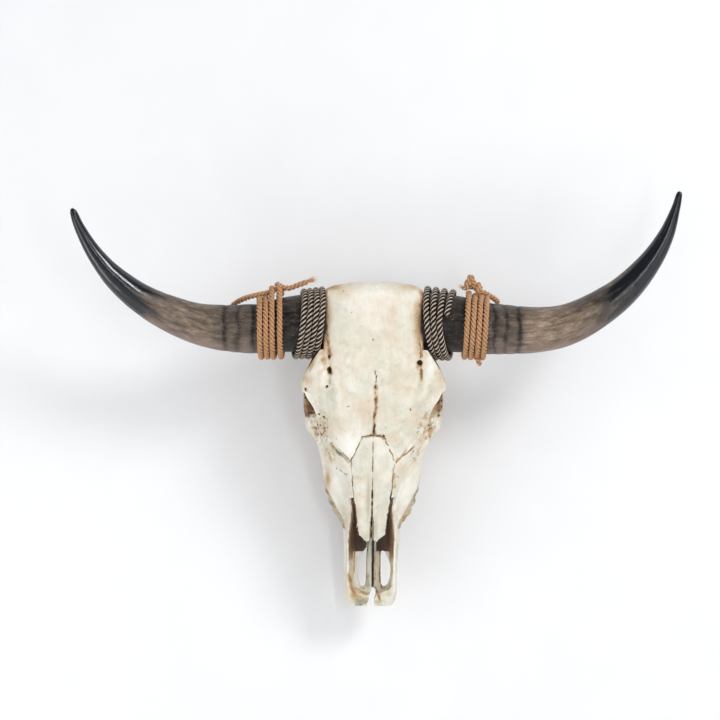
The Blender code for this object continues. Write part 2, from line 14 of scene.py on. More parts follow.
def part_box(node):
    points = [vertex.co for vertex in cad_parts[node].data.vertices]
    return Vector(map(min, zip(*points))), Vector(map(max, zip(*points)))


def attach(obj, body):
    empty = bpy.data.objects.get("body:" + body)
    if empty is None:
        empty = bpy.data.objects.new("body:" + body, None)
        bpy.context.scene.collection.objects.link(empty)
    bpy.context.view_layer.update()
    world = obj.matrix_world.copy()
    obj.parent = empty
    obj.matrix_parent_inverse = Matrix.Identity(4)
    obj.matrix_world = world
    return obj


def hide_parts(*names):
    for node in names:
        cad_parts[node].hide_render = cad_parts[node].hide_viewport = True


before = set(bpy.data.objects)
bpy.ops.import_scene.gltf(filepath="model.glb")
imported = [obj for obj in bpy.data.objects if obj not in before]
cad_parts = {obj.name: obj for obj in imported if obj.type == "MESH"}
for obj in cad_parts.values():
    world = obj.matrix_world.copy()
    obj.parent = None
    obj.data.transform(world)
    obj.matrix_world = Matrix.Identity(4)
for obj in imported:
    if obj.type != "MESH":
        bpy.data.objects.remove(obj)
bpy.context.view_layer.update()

# Sizes below are in millimetres, and MM turns them into metres. X points right as one faces the skull,
# Y into the wall and Z up. The wall is the plane y = 0.
MM = 0.001
GAP = 0.3  # between two pieces that touch

# Sections across the skull, as (height, value) keys from the poll down to the muzzle. Each section runs
# from the middle of the front over the edge and the side to the back corner and the middle of the back.
FRONT_Y = [(104, -146), (99, -161), (88, -169), (55, -173), (-5, -174), (-50, -172), (-75, -168),
           (-100, -161), (-134, -153), (-175, -145), (-225, -135), (-245, -130), (-300, -98), (-336, -74)]
EDGE_X = [(104, 26), (99, 52), (90, 65), (58, 69), (30, 69), (18, 74), (4, 80.5), (-33, 96), (-44, 87),
          (-52, 83), (-70, 75), (-100, 66), (-134, 52), (-175, 40), (-222, 32), (-240, 32.5), (-300, 33),
          (-325, 31.5), (-336, 27)]
EDGE_Y = [(104, -140), (99, -152), (88, -158), (25, -161), (0, -158), (-33, -151), (-70, -145),
          (-100, -139), (-134, -131), (-175, -118), (-222, -103), (-300, -82), (-336, -70)]
SIDE_X = [(104, 27), (99, 52), (90, 64), (58, 64), (25, 57), (-5, 62), (-33, 77), (-52, 74), (-70, 76),
          (-100, 72), (-134, 66.5), (-155, 64), (-170, 62), (-188, 54.5), (-205, 46), (-221, 37.8),
          (-236, 35), (-300, 34.6), (-325, 34), (-336, 29)]
SIDE_Y = [(104, -130), (25, -132), (-33, -134), (-70, -118), (-100, -108), (-134, -99), (-175, -88),
          (-222, -80), (-300, -68), (-336, -62)]
BACK_X = [(104, 12), (99, 28), (85, 34), (58, 32), (25, 27), (-20, 25), (-45, 34), (-70, 50), (-100, 56),
          (-134, 56), (-175, 50), (-205, 41), (-222, 35.5), (-300, 33), (-325, 32), (-336, 26)]
BACK_Y = [(104, -118), (99, -80), (88, -50), (58, -44), (25, -44), (-33, -52), (-70, -60), (-134, -59),
          (-175, -57), (-225, -54), (-300, -50), (-336, -52)]

# Outlines seen from the front as (x, z), right half, and outlines seen from the side as (y, z).
NASAL = [(0.0, -99), (14.3, -101), (22, -118), (29, -134), (27, -157), (25, -180), (22.5, -200),
         (20.4, -218), (18.8, -233.5), (6, -243.5), (0.0, -238)]
NASAL_PARTING = [(0.0, -160), (1.0, -205), (2.4, -230), (3, -250), (-3, -250), (-2.4, -230), (-1.0, -205)]
MAXILLA = [(0.0, -134), (29, -134), (42, -121), (53, -110), (73, -86), (84, -76), (110, -76), (110, -222),
           (41, -222), (33, -205), (25, -186), (22.5, -187), (21, -252), (0.0, -252)]
PREMAXILLA = [(0.0, -252), (21, -252), (22.5, -187), (25, -186), (33, -205), (41, -222), (70, -222),
              (70, -350), (0.0, -350)]
ZYGOMATIC = [(74, -112), (67, -102), (65, -90), (67, -78), (72, -66), (76, -58), (76, 18), (120, 18),
             (120, -112)]
NOSE_OPENING = [(-230, -183), (-126, -183), (-121, -200), (-105, -224), (-92, -256), (-82, -300),
                (-76, -322), (-76, -350), (-230, -350)]
SLIT_LEFT = [(-3.9, -251), (-7, -257), (-12.5, -264), (-19, -268.6), (-20, -278), (-19.3, -288), (-18, -298),
             (-14, -310), (-9, -311), (-7, -306), (-6, -288), (-5.5, -268), (-3.4, -257)]
SLIT_RIGHT = [(13.2, -260), (18.9, -262.7), (22.9, -270.6), (26, -280.4), (26.7, -288.3), (25.2, -300),
              (22.4, -308), (17.6, -311), (15.1, -308), (13.9, -296), (12.9, -280.4), (12.9, -268)]
TIP_NOTCH = [(0, -318), (2.7, -311.5), (5.7, -314), (6.8, -320.5), (4.6, -328), (5.5, -345), (-9, -345),
             (-5, -333), (-1.7, -326)]

ORBIT_RIM = [(91, -149, -37), (85, -131, -25), (85, -107, -27), (89, -95, -44), (89, -97, -68),
             (82, -111, -84), (70, -131, -80), (74, -146, -62)]
ORBIT_DEPTHS = (-200, -114)
PALATE_DEPTHS = (-120, -20)
ORBIT_FRONT = [(91.5, -42), (87, -51), (81, -63), (75.5, -73), (79, -77), (115, -77), (115, -42)]
ORBIT_CENTRE = (87, -122, -50)
ORBIT_FACES = (0.85, -0.30, -0.30)
ORBIT_RADII = (42, 24.5, 25)
CHEEK_ARCH = [(80, -97, -82), (84, -93, -56), (83, -87, -24), (72, -80, 2), (64, -73, 28), (54, -70, 50),
              (42, -76, 58)]
CHEEK_CREST = [(84, -98, -76), (83, -97, -89), (71, -97, -106), (64, -93, -130), (61, -88, -152)]
TEETH = [(38, -213), (46, -200), (51.5, -184), (54, -162), (53, -134)]  # the tooth row, as (x, z)
TEETH_PER_SIDE = 6
CROWN_Y = -34
CORE_END = 65.2  # where the skull's horn socket ends and the horn begins, from the middle
NASAL_THICK = 6
NASAL_BACK = (-168.9, -0.211)  # the plane behind the nasal bones, as its depth and its slope with height
SWAY = 0.013  # how far the muzzle leans to the left of the middle, for each unit below the orbits
SWAY_TOP = -60

# Horns, as (x, y, z, radius) keys from the skull to the tip.
HORN_LEFT = [(-65.5, -129, 49, 40.5), (-88, -131, 49, 39), (-111, -133, 47.5, 37),
             (-137, -135, 43.5, 34.8), (-163, -138, 41.5, 33), (-200, -143, 43, 30.6),
             (-236, -149, 49, 27), (-275, -158, 64, 23.2), (-307, -167, 82, 19.4),
             (-332, -176, 102, 16.2), (-350, -184, 121, 13), (-367, -192, 145, 9.8),
             (-381, -200, 172, 6.9), (-387.5, -206, 190, 4.9), (-389.8, -208, 195.5, 1.8)]
HORN_RIGHT = [(65.5, -129, 50, 40.5), (90, -131, 49.5, 39), (116, -133, 47, 37.2), (142, -135, 43, 35.2),
              (168, -137, 41, 33.6), (214, -143, 40, 30.4), (253, -151, 46, 27.6), (291, -161, 64, 24.4),
              (329, -173, 92, 20.2), (360, -186, 128, 15.2), (379, -196, 162, 10.5),
              (389.8, -203, 194, 6.2), (394.2, -206, 213, 4.2), (395.3, -207, 217.5, 1.8)]
HORN_Y, HORN_Z = -131, 49.5  # the axis of both horns where they leave the skull

# Cord wound on the horns: where each winding's first turn starts on the horn's axis, the way its turns
# face, the way that they follow each other along the horn, the horn's radius at the first and the fifth
# turn, how many turns there are, how much further from the others the first one is and how much wider they
# stand on top of the horn. A winding starts behind the horn, and its fall is 1 where it goes over the top
# first.
CORD_RADIUS = 3.9
TURN_GAP = 0.2
CORD_ROOM = 0.8  # round the first turn of a band, where it sinks into the skull
BAND_LEFT = {"start": (-70.1, -129.6, 49.6), "faces": (-1, -0.13, 0.078), "runs": (-1, -0.08, -0.06),
             "radii": (41, 39.2), "turns": 4, "apart": 0, "fan": 0, "fall": 1}
BAND_RIGHT = {"start": (73.8, -129.6, 49.6), "faces": (1, -0.18, 0.09), "runs": (1, -0.08, -0.1),
              "radii": (42, 40.4), "turns": 3.46, "apart": 0, "fan": 0.4, "fall": 1}
JUTE_LEFT = {"start": (-122.2, -133.6, 45.4), "faces": (-1, -0.02, 0.02), "runs": (-1, -0.1, -0.08),
             "radii": (37, 34.6), "turns": 4, "apart": 2.3, "fan": 0, "fall": -1}
JUTE_RIGHT = {"start": (120.2, -133.5, 45.8), "faces": (1, -0.04, -0.02), "runs": (1, -0.1, -0.1),
              "radii": (37.5, 35.5), "turns": 4, "apart": 0, "fan": 0, "fall": -1}
TAIL_LEFT = [(-194, -112, 66), (-184, -122, 76), (-168, -134, 83), (-150, -141, 87), (-136, -144, 90),
             (-124, -145, 96), (-112, -146, 95), (-100, -147, 99), (-84.5, -149, 104.5)]
TAIL_RIGHT = [(116.5, -147, 97), (121.5, -147.5, 95), (124.4, -148, 101), (128.6, -148, 110.5),
              (132.8, -147, 101), (137, -144, 93), (149, -138, 88.5), (161, -128, 82), (168, -117, 77)]

# The skull is a loft through its sections, with these joined to each side of it, given for the right. Bars:
# their path, their radii across and along a hint, the hint and their sides. Balls: their centre and radii.
BARS = [
    (CHEEK_ARCH, [(8, 11), (6, 12), (5.5, 10), (5.5, 8), (6, 8), (9, 10), (10, 14)], (0, 1, 0), 14),
    (CHEEK_CREST, [(8, 14), (8, 15), (7, 14), (6, 12), (5, 8)], (0, 1, 0), 14),
    ([(86.5, -147, -34), (82.5, -122, -22), (82, -98, -26)], [(6, 8), (4.5, 7), (6, 8)], (0, 0, 1), 14),
    ([(42, -72, 74), (46, -48, 72), (44, -24, 67), (40, -8, 60)],
     [(14, 12), (9, 9), (6, 7), (4, 4)], (0, 0, 1), 14),
    ([(22, -62, -16), (22, -42, -38), (24, -38, -62), (28, -54, -88)],
     [(4, 14), (4, 10), (4, 12), (6, 14)], (0, 1, 0), 14),
    ([(36, -124, 51), (58, -128, 50), (CORE_END + 6, -130, 49.5)], [(36, 42), (36, 38), (37, 38)], (0, 0, 1), 24),
]
BALLS = [((60, -114, -50), (34, 35, 36)), ((20, -40, 80), (12, 15, 18)), ((34, -42, 42), (11, 16, 15))]
BASE_HOLE = ((0, -48, 100), (14, 12, 34))
# The block that holds the nasal bones, the space between their tips, and the one in front of the muzzle.
NASAL_SPACE = ([(-40, -92), (40, -92), (40, -250), (-40, -250)], -200, -112)
PARTING_SPACE = (NASAL_PARTING, -210, -102)
NOSE_SPACE = (NOSE_OPENING, -70, 70, "side")
# The bones that are cut from the cranium, in this order: outline seen from the front, and depths. The
# maxilla's cut runs on under its neighbours, which are cut away before it.
MAXILLA_CUT = [*MAXILLA[:7], (110, -226), (40, -226), (30, -208), (24, -196), (24, -255), (0.0, -255)]
BONES = [("zygomatic", ZYGOMATIC, (-113, -20)), ("premaxilla", PREMAXILLA, (-220, 20)),
         ("maxilla", MAXILLA_CUT, (-220, 20))]
# The nose cavity's half width seen from the front, by the depth below.
CAVITY = [(176, 24), (190, 25), (208, 28), (227, 30.3), (243, 31.6), (255, 31), (266, 28)]
SIDES = {"left": -1, "right": 1}

ORIGIN_Z = 36  # the frame's origin, the middle of the wall pad, in the heights used here
FINE = 1.4  # the size of the skull's faces
SMOOTHING = round(6 * (2.5 / FINE) ** 2)
LAST_SMOOTHING = 2
SUTURE_STEP, SUTURE_SWING, SUTURE_GAP = 3.0, 0.9, 0.05
RIM_DEEP, RIM_WIDE, RIM_EDGE = 0.9, 1.0, 0.9  # how a bone is worn at a suture, and its longest edge there
HOLLOW_SMOOTHING = 4
SEAT_ROOM = 1.5  # round the wall pad, where it meets the skull
SHARP = math.radians(60)

# Channels of the bone's marks. Dirt also carries painted shade in holes, hollows and the temples. Paleness also
# carries painted highlights on ridges and crests.
DIRT_AND_SHADE, RUST, MOSS, PALE_AND_HIGHLIGHT = range(4)
# Marks on the skull seen from the front: kind, strength, half width and depth in mm, and a path of (x, z). The pale
# strokes are painted highlights along ridges of the brows, the frontal and the muzzle.
STROKES = [
    (RUST, 0.8, 3.0, 0.8, [(-63.5, 92), (-62.7, 56), (-62, 40), (-60.2, 25), (-58.6, 12), (-57.9, 5)]),
    (DIRT_AND_SHADE, 0.55, 1.0, 0.2, [(-62, 48), (-61, 27), (-58.6, 11)]),
    (MOSS, 0.18, 6.5, 3.2, [(-58, 12), (-57.2, -10), (-57, -34)]),
    (MOSS, 0.18, 6.5, 2.8, [(61.5, 14), (62, -10), (61.5, -34)]),
    # Painted highlights on the brows, outside their grooves.
    (PALE_AND_HIGHLIGHT, 0.5, 6.0, -1.0, [(-72, 2), (-74, -16)]),
    (PALE_AND_HIGHLIGHT, 0.5, 6.0, -1.0, [(76, 2), (79, -18)]),
    (MOSS, 0.15, 7.0, 1.6, [(-66, -44), (-60, -66), (-58, -84)]),
    (MOSS, 0.15, 7.0, 1.6, [(68, -44), (62, -66), (60, -84)]),
    (MOSS, 0.6, 2.4, 0.8, [(-57.9, 0), (-57.7, -15), (-57.5, -31)]),
    # A painted highlight on the left brow's ridge beside its groove.
    (PALE_AND_HIGHLIGHT, 0.9, 4.0, -0.5, [(-68.5, 4), (-67, -8), (-66, -24)]),
    (RUST, 0.75, 1.3, 0.5, [(59, 36), (59.8, 28), (62.3, 12), (61.5, 3)]),
    (RUST, 0.8, 1.2, 0.5, [(66.5, 34), (65.6, 25), (63.9, 5)]),
    (RUST, 0.6, 2.2, 1.1, [(61.5, -5), (62.1, -11), (62.3, -27)]),
    (DIRT_AND_SHADE, 0.45, 1.2, 0.3, [(61.8, -6), (62.1, -22)]),
    (MOSS, 0.3, 5.0, 0.6, [(61, -24), (61.5, -44)]),
    (RUST, 0.5, 2.6, 0.0, [(57.5, -6), (58.5, -12)]),
    # A painted highlight down the middle of the frontal.
    (PALE_AND_HIGHLIGHT, 0.9, 1.4, -0.3, [(2.5, 68), (2.5, 42)]),
    (DIRT_AND_SHADE, 1.0, 1.0, 0.9, [(2.6, -15), (3.0, -29), (2.7, -48), (3.2, -64)]),
    (DIRT_AND_SHADE, 1.0, 1.5, 1.2, [(3.2, -62), (1.2, -72), (1.8, -86), (1.2, -98)]),
    (RUST, 0.6, 3.0, 0.2, [(3.4, -34), (3.4, -62), (1.5, -72), (1.5, -97)]),
    (RUST, 0.75, 1.8, 0.6, [(-14.1, -103), (-8, -100.5), (-2, -99)]),
    (RUST, 0.85, 1.8, 0.6, [(4, -99.5), (9, -100), (14.6, -104)]),
    (MOSS, 0.8, 2.6, 0.8, [(-55, -110), (-49.7, -118), (-43.4, -124), (-37, -130), (-31, -135)]),
    (DIRT_AND_SHADE, 0.6, 1.1, 0.5, [(-54.4, -110), (-49.7, -118), (-43.4, -124)]),
    (DIRT_AND_SHADE, 0.75, 0.9, 0.6, [(-48, -144), (-41.6, -148), (-33.7, -152)]),
    (RUST, 0.75, 1.5, 0.5, [(31, -135), (37.7, -127), (45.4, -122.6), (54.7, -115)]),
    (DIRT_AND_SHADE, 0.6, 0.9, 0.5, [(32, -154), (35.2, -157)]),
    (RUST, 0.5, 3.4, 0.0, [(29, -152), (29.5, -168)]),
    (DIRT_AND_SHADE, 0.9, 1.1, 0.9, [(-86.5, -88.5), (-82, -84.5), (-78, -82.5)]),
    (RUST, 0.34, 4.0, 0.0, [(-71, 12), (-82, -8), (-95, -29)]),
    (RUST, 0.38, 4.0, 0.0, [(75, 20), (86, -6), (96, -30)]),
    (RUST, 0.6, 3.0, 0.0, [(-29.5, -289), (-27.5, -307), (-20.5, -321)]),
    (RUST, 0.5, 2.6, 0.0, [(-23, -262), (-24.5, -280), (-23, -296)]),
    (RUST, 0.7, 1.6, 0.0, [(6, -311), (9, -318), (13.5, -328)]),
    (MOSS, 1.0, 5.5, 0.4, [(-22, -322), (-14, -327), (-6, -328)]),
    (RUST, 0.45, 3.0, 0.0, [(-24, -318), (-14, -324)]),
    # Grey-green strips down the inner sides of the muzzle's rims, partly painted shade on the rims' rounded sides,
    # and painted highlights along the rims' crests.
    (MOSS, 0.32, 3.0, 0.0, [(-33, -215), (-34.5, -250), (-33.5, -300)]),
    (MOSS, 0.28, 3.0, 0.0, [(33, -215), (36.5, -250), (34.5, -300)]),
    (PALE_AND_HIGHLIGHT, 1.0, 2.2, -1.1, [(-36.5, -222), (-37, -262), (-35, -300)]),
    (PALE_AND_HIGHLIGHT, 0.9, 2.6, -1.1, [(35, -222), (38, -262), (36, -300)]),
    (RUST, 0.45, 2.0, 0.0, [(-5, -320), (-12, -317), (-22, -311)]),
    (DIRT_AND_SHADE, 0.6, 1.6, 0.0, [(-20, -333), (-7, -334)]),
    (MOSS, 0.6, 3.4, 0.0, [(-3.8, -250), (-4.3, -280), (-3.2, -309)]),
    (MOSS, 0.3, 3.0, 0.0, [(8.5, -250), (8.5, -309)]),
    (RUST, 0.85, 1.4, 0.0, [(13, -258), (12.3, -282), (12.8, -303), (15, -311)]),
    (RUST, 0.5, 1.6, 0.0, [(6, -262), (5.6, -300)]),
    (DIRT_AND_SHADE, 0.5, 1.4, 0.0, [(-15, -312), (-9, -313)]),
    (RUST, 0.6, 1.6, 0.0, [(16, -313), (22, -311)]),
]
# Soft stains seen from the front: kind, strength, x, z, half width and half height. The pale ones are partly painted
# highlights.
BLOTS = [
    (RUST, 0.8, -66, 60, 6.5, 60), (RUST, 0.3, -59, 50, 6, 50), (RUST, 0.5, -56, 96, 22, 7),
    (RUST, 0.22, -42, 90, 30, 16),
    (RUST, 0.95, 66.5, 58, 7, 44), (RUST, 0.5, 60, 44, 10, 46), (RUST, 0.35, 52, 97, 20, 8),
    (RUST, 0.12, 10, 30, 60, 70), (RUST, 0.16, 30, -30, 26, 26), (RUST, 0.2, -48, -84, 15, 16),
    (RUST, 0.22, 55, -82, 17, 19), (RUST, 0.3, -88, -26, 9, 9), (RUST, 0.3, 90, -20, 10, 22),
    (RUST, 0.3, 64, -107, 9, 8), (RUST, 0.25, -60, -120, 9, 14), (RUST, 0.25, 40, -146, 12, 14),
    (RUST, 0.45, -60, -160, 5, 16), (RUST, 0.3, -66, -84, 10, 16), (RUST, 0.22, -10, -66, 22, 20),
    (MOSS, 0.3, -56, -42, 9, 14), (MOSS, 0.2, 20, -60, 30, 30), (MOSS, 0.25, -12, -122, 12, 20),
    (MOSS, 0.45, -5, -185, 4, 50), (MOSS, 0.4, 5, -222, 4, 24), (MOSS, 0.3, 16, -190, 9, 30),
    (MOSS, 0.3, 60, -62, 12, 14), (MOSS, 0.35, -6, -236, 9, 9), (MOSS, 0.3, 7, -238, 8, 8),
    (MOSS, 0.3, -36, -212, 7, 26), (MOSS, 0.35, 37, -262, 5, 26), (MOSS, 0.2, -40, 40, 16, 30),
    (MOSS, 1.0, -14, -328, 10, 6), (RUST, 0.5, -22, -320, 8, 6), (MOSS, 0.5, 10, -329, 8, 5),
    # Pale patches, partly painted highlights.
    (PALE_AND_HIGHLIGHT, 0.9, -29, -114, 16, 18), (PALE_AND_HIGHLIGHT, 0.6, -48, -166, 12, 30), (PALE_AND_HIGHLIGHT, 0.6, 45, -175, 12, 30),
    (PALE_AND_HIGHLIGHT, 0.5, 0, 84, 34, 14), (PALE_AND_HIGHLIGHT, 0.5, 14, -150, 10, 40), (PALE_AND_HIGHLIGHT, 0.5, 0, 60, 16, 30),
]
# Holes seen from the front: x, z, half width, half height and depth.
PITS = [(-57.9, 3.8, 2.1, 3.2, 3), (-57.9, -13.2, 3.0, 4.9, 4), (-60.8, -34.5, 1.7, 1.7, 1),
        (60.4, -3.8, 3.4, 3.6, 4),
        (-89.2, -38.4, 1.5, 2.0, 2), (-71.6, -71.3, 1.5, 1.2, 1), (-65.6, -74.6, 1.4, 1.1, 1),
        (-67.9, -98.6, 1.4, 1.4, 1), (-75.9, -102.6, 1.3, 1.3, 1), (82.3, -70.6, 1.3, 1.8, 1),
        (73.3, -99.9, 3.4, 2.6, 1.5), (79.7, -77.9, 1.2, 2.0, 1), (-0.9, 27.7, 1.0, 1.0, 0.6),
        (48.5, -65, 1.2, 1.2, 0.6), (-33.7, -60.2, 1.0, 1.0, 0.6), (-39.7, 90.6, 1.0, 1.0, 0.6),
        (13.7, -100, 1.6, 1.6, 1.4)]

# Tones of the horns. Rings on them: distance from the middle, depth and half width. Fades: how far the dark
# base reaches, where the pale part begins and ends, where the black tip begins, and how pale it gets.
DARK, BEIGE, BLACK, PINK = range(4)
HORNS = {
    "left": (HORN_LEFT, [(195, 1.0, 3.4), (178, 0.65, 3.0), (158, 0.95, 3.6), (141, 0.6, 4)],
             (150, 206, 300, 280, 0.55), 89, BAND_LEFT),
    "right": (HORN_RIGHT, [(191, 1.0, 3.4), (173.5, 0.8, 3.0), (158.5, 0.9, 3.2), (146, 0.6, 4)],
              (138, 200, 268, 308, 0.95), 91, BAND_RIGHT),
}
HORN_SIDES, HORN_STEPS = 96, 24
HORN_SKIN = 0.15
HORN_CLEARANCE, HORN_ROOM = 50.5, 80
ROPE_SIDES, ROPE_STEP = 28, 1.1
BAND_TWIST, JUTE_TWIST = (19, 3), (-17.5, 3)  # the length of a turn in mm, and the number of strands
FIBRE_RADIUS = 0.11
WINDING_STEPS, ROOM_STEPS = 96, 48
# Each jute winding: its path, its loose length, how far its numbered turns stand off the horn on top, the
# loops of its knot as centre, axis, radius and climb, its stubs, and its frayed end, as that end's last two
# points. Fibres are given by their number, their seed and the length of the longest.
JUTES = {
    "left": (JUTE_LEFT, TAIL_LEFT, {0: 12, 1: 11}, [((-124, -142, 94), (1, 0, 0.25), 7, 5)], [],
             TAIL_LEFT[:-3:-1], (160, 31, 9)),
    "right": (JUTE_RIGHT, TAIL_RIGHT, {0: 2},
              [((128.5, -143, 101), (0.1, 1, 0.1), 4.8, 2), ((139, -144, 93), (1, 0, -0.3), 6.5, 5)],
              [[(136, -146, 4), (138, -149, 0), (140, -150, -4), (141, -149, -8)]],
              TAIL_RIGHT[:2], (60, 32, 4)),
}
JUTE_FUZZ, BAND_FUZZ = ((2600, 21, 3.6), (160, 22, 7)), ((60, 3, 4),)
TAIL_THIN, KNOT_THIN = 0.97, 0.9  # the loose length's and the knot's radius, against the winding's

# The stage and its lights, in metres and watts. Each light: place, target, size, power and colour.
WALL_Y, WALL_TOP, FLOOR_Z, FLOOR_HALF, FLOOR_FRONT = 0.0005, 4, -1.1, 5, -6
MIDDLE = (0, -0.1, -0.1)
LIGHTS = {
    "key": ((2.5, -2.8, 2.1), MIDDLE, (1.05, 1.05), 76, (0.985, 0.99, 1.0)),
    "side": ((1.42, -1.75, 0.2), (0.35, -0.1, 0.1), (0.3, 2.0), 5, (1, 1, 1)),
    "fill": ((-2.0, -1.5, 0.2), MIDDLE, (0.8, 1.4), 7, (1, 1, 1)),
    "strip": ((0.42, -1.95, -0.08), (0.37, -0.2, 0.1), (0.13, 0.8), 4, (1, 1, 1)),
    "low": ((-1.35, -1.05, -0.85), (-0.36, -0.2, 0.09), (0.7, 0.7), 6, (1, 1, 1)),
}
SKY, SKY_LIGHT, SKY_UNMIRRORED = (0.93, 0.95, 1.0, 1), 0.64, 0.46
SENSOR, LENS, CAMERA_PLACE = 36, 92.7, (-0.0178, -2.6, -0.036)


# Curves and solids

def millimetres(*point):
    return Vector(point) * MM


def angles(count):
    return np.arange(count) * math.tau / count


def curve(keys, at):
    """The value at one place of a smooth curve through (place, value) keys, which never overshoots them."""
    places, values = np.array(sorted(keys), float).T
    steps = np.diff(places)
    rises = np.diff(values) / steps
    slopes = np.array([rises[0], *np.zeros(len(rises) - 1), rises[-1]])
    for i in range(1, len(rises)):
        if rises[i - 1] * rises[i] > 0:
            slopes[i] = 2 * rises[i - 1] * rises[i] / (rises[i - 1] + rises[i])
    i = int(np.clip(np.searchsorted(places, at) - 1, 0, len(steps) - 1))
    t = (min(max(at, places[0]), places[-1]) - places[i]) / steps[i]
    ease = t * t * (3 - 2 * t)
    bow = (t * (1 - t) ** 2 * slopes[i] - t * t * (1 - t) * slopes[i + 1]) * steps[i]
    return values[i] + (values[i + 1] - values[i]) * ease + bow


def spline(points, steps, closed=False):
    """A Catmull-Rom curve through points, with this many steps from each one to the next."""
    points = np.array(points, float)
    if closed:
        before, after = points[-1:], points[:2]
    else:
        before, after = 2 * points[:1] - points[1:2], 2 * points[-1:] - points[-2:-1]
    guide = np.concatenate([before, points, after])
    found = []
    for a, b, c, d in zip(guide, guide[1:], guide[2:], guide[3:]):
        for t in np.arange(steps) / steps:
            cubic = (2 * a - 5 * b + 4 * c - d) * t**2 + (3 * b - a - 3 * c + d) * t**3
            found.append(0.5 * (2 * b + (c - a) * t + cubic))
    return np.array(found if closed else [*found, points[-1]])


def loft(bm, rings, capped=True):
    """A skin over rings of equally many points. Where it isn't capped, the last ring joins the first."""
    made = [[bm.verts.new(p) for p in ring] for ring in rings]
    pairs = list(zip(made, made[1:])) + ([] if capped else [(made[-1], made[0])])
    for low, high in pairs:
        for i in range(len(low)):
            bm.faces.new((low[i - 1], low[i], high[i], high[i - 1]))
    if capped:
        bm.faces.new(made[0])
        bm.faces.new(made[-1][::-1])
    return bm


def bar(bm, path, radii, hint, sides=14, closed=False, steps=6):
    """A bar on a path in mm. Its radii are pairs, (across the hint, along the hint)."""
    path = spline(path, steps, closed)
    radii = spline(radii, steps) if len(radii) > 1 else np.repeat(radii, len(path), axis=0)
    rings = []
    for i, (p, (wide, deep)) in enumerate(zip(path, radii)):
        after = path[(i + 1) % len(path)] if closed else path[min(i + 1, len(path) - 1)]
        before = path[i - 1] if closed else path[max(i - 1, 0)]
        along = Vector(after - before).normalized()
        across = along.cross(Vector(hint)).normalized()
        up = across.cross(along)
        offsets = [across * (wide * math.cos(t)) + up * (deep * math.sin(t)) for t in angles(sides)]
        rings.append([(Vector(p) + step) * MM for step in offsets])
    return loft(bm, rings, capped=not closed)


def ellipsoid(bm, centre, radii, turn=None):
    place = Matrix.LocRotScale(millimetres(*centre), turn, millimetres(*radii))
    bmesh.ops.create_uvsphere(bm, u_segments=24, v_segments=14, radius=1, matrix=place)


def prism(bm, outline, low, high, seen="front", side=1):
    """A block between two depths, whose outline in mm is seen from the front (x, z) or the side (y, z)."""
    rings = []
    for depth in (low, high):
        points = [(side * a, depth, b) if seen == "front" else (depth, a, b) for a, b in outline]
        rings.append([millimetres(*p) for p in points])
    return loft(bm, rings)


def mirrored(points, side):
    return [(side * x, *rest) for x, *rest in points]


def section(z):
    """The half outline of the skull at one height, from the middle of its front to that of its back."""
    front, edge_x, edge_y, side_x, side_y, back_x, back_y = (
        curve(keys, z) for keys in (FRONT_Y, EDGE_X, EDGE_Y, SIDE_X, SIDE_Y, BACK_X, BACK_Y))
    brow = (0.66 * edge_x, front + 0.17 * (edge_y - front))
    jowl = (0.5 * (side_x + back_x) + 0.09 * side_x, 0.5 * (side_y + back_y))
    return [(0, front), brow, (edge_x, edge_y), (side_x, side_y), jowl, (back_x, back_y), (0, back_y + 3)]


def ring_at(half, z, steps):
    """The whole ring of a section, from its half outline."""
    whole = half + [(-x, y) for x, y in half[-2:0:-1]]
    return [millimetres(x, y, z) for x, y in spline(whole, steps, closed=True)]


def tooth_row(bm, side):
    """The upper cheek teeth, each a column that stands out of the jaw towards the wall."""
    row = spline([(side * x, 0, z) for x, z in TEETH], 8)
    for i in range(TEETH_PER_SIDE):
        back = i / (TEETH_PER_SIDE - 1)
        x, _, z = row[round(back * (len(row) - 1))]
        wide, tall = 8.5 + 2.5 * min(1.6 * back, 1), 8.0 + back
        radii = [(tall + 1, wide), (tall, wide), (tall - 1, wide - 1)]
        bar(bm, [(x, -80, z), (x, -48, z), (x, CROWN_Y, z)], radii, (1, 0, 0), sides=12)


def skull_solids():
    """All the forms of the skull, still overlapping each other."""
    heights = sorted({z for z, _ in EDGE_X + FRONT_Y + SIDE_X} | set(range(-330, 100, 8)))
    bm = loft(bmesh.new(), [ring_at(section(z), z, 5) for z in heights])
    for side in SIDES.values():
        bar(bm, mirrored(ORBIT_RIM, side), [(5.5, 5.5)], (side, 0, 0), sides=10, closed=True)
        for centre, radii in BALLS:
            ellipsoid(bm, *mirrored([centre], side), radii)
        for path, radii, hint, sides in BARS:
            bar(bm, mirrored(path, side), radii, hint, sides)
        tooth_row(bm, side)
    return bm


def nose_cavity():
    """The hollow of the nose, from a closed end behind the nasal bones to the tip of the muzzle."""
    rings = []
    for z in range(-318, -123, 6):
        front, brow, edge, side, _, _, rear = section(z)
        fit = min(1, 0.45 + (-z - 118) / 50, 0.35 + (z + 326) / 26)
        deep = rear[1] - 11
        roof = [(0, front[1] + NASAL_THICK), (brow[0] - 2, brow[1] + NASAL_THICK + 1)]
        slope = min(max((-z - 205) / 35, 0), 1)
        wall = [(edge[0] - 5 + 1.8 * slope, edge[1] + 4), (side[0] - 5.5 - 4 * slope, side[1])]
        half = [*roof, *wall, (side[0] - 11 - 3 * slope, deep - 3), (0, deep)]
        rings.append(ring_at([(x * fit, deep + (y - deep) * (0.5 + 0.5 * fit)) for x, y in half], z, 4))
    return loft(bmesh.new(), rings)


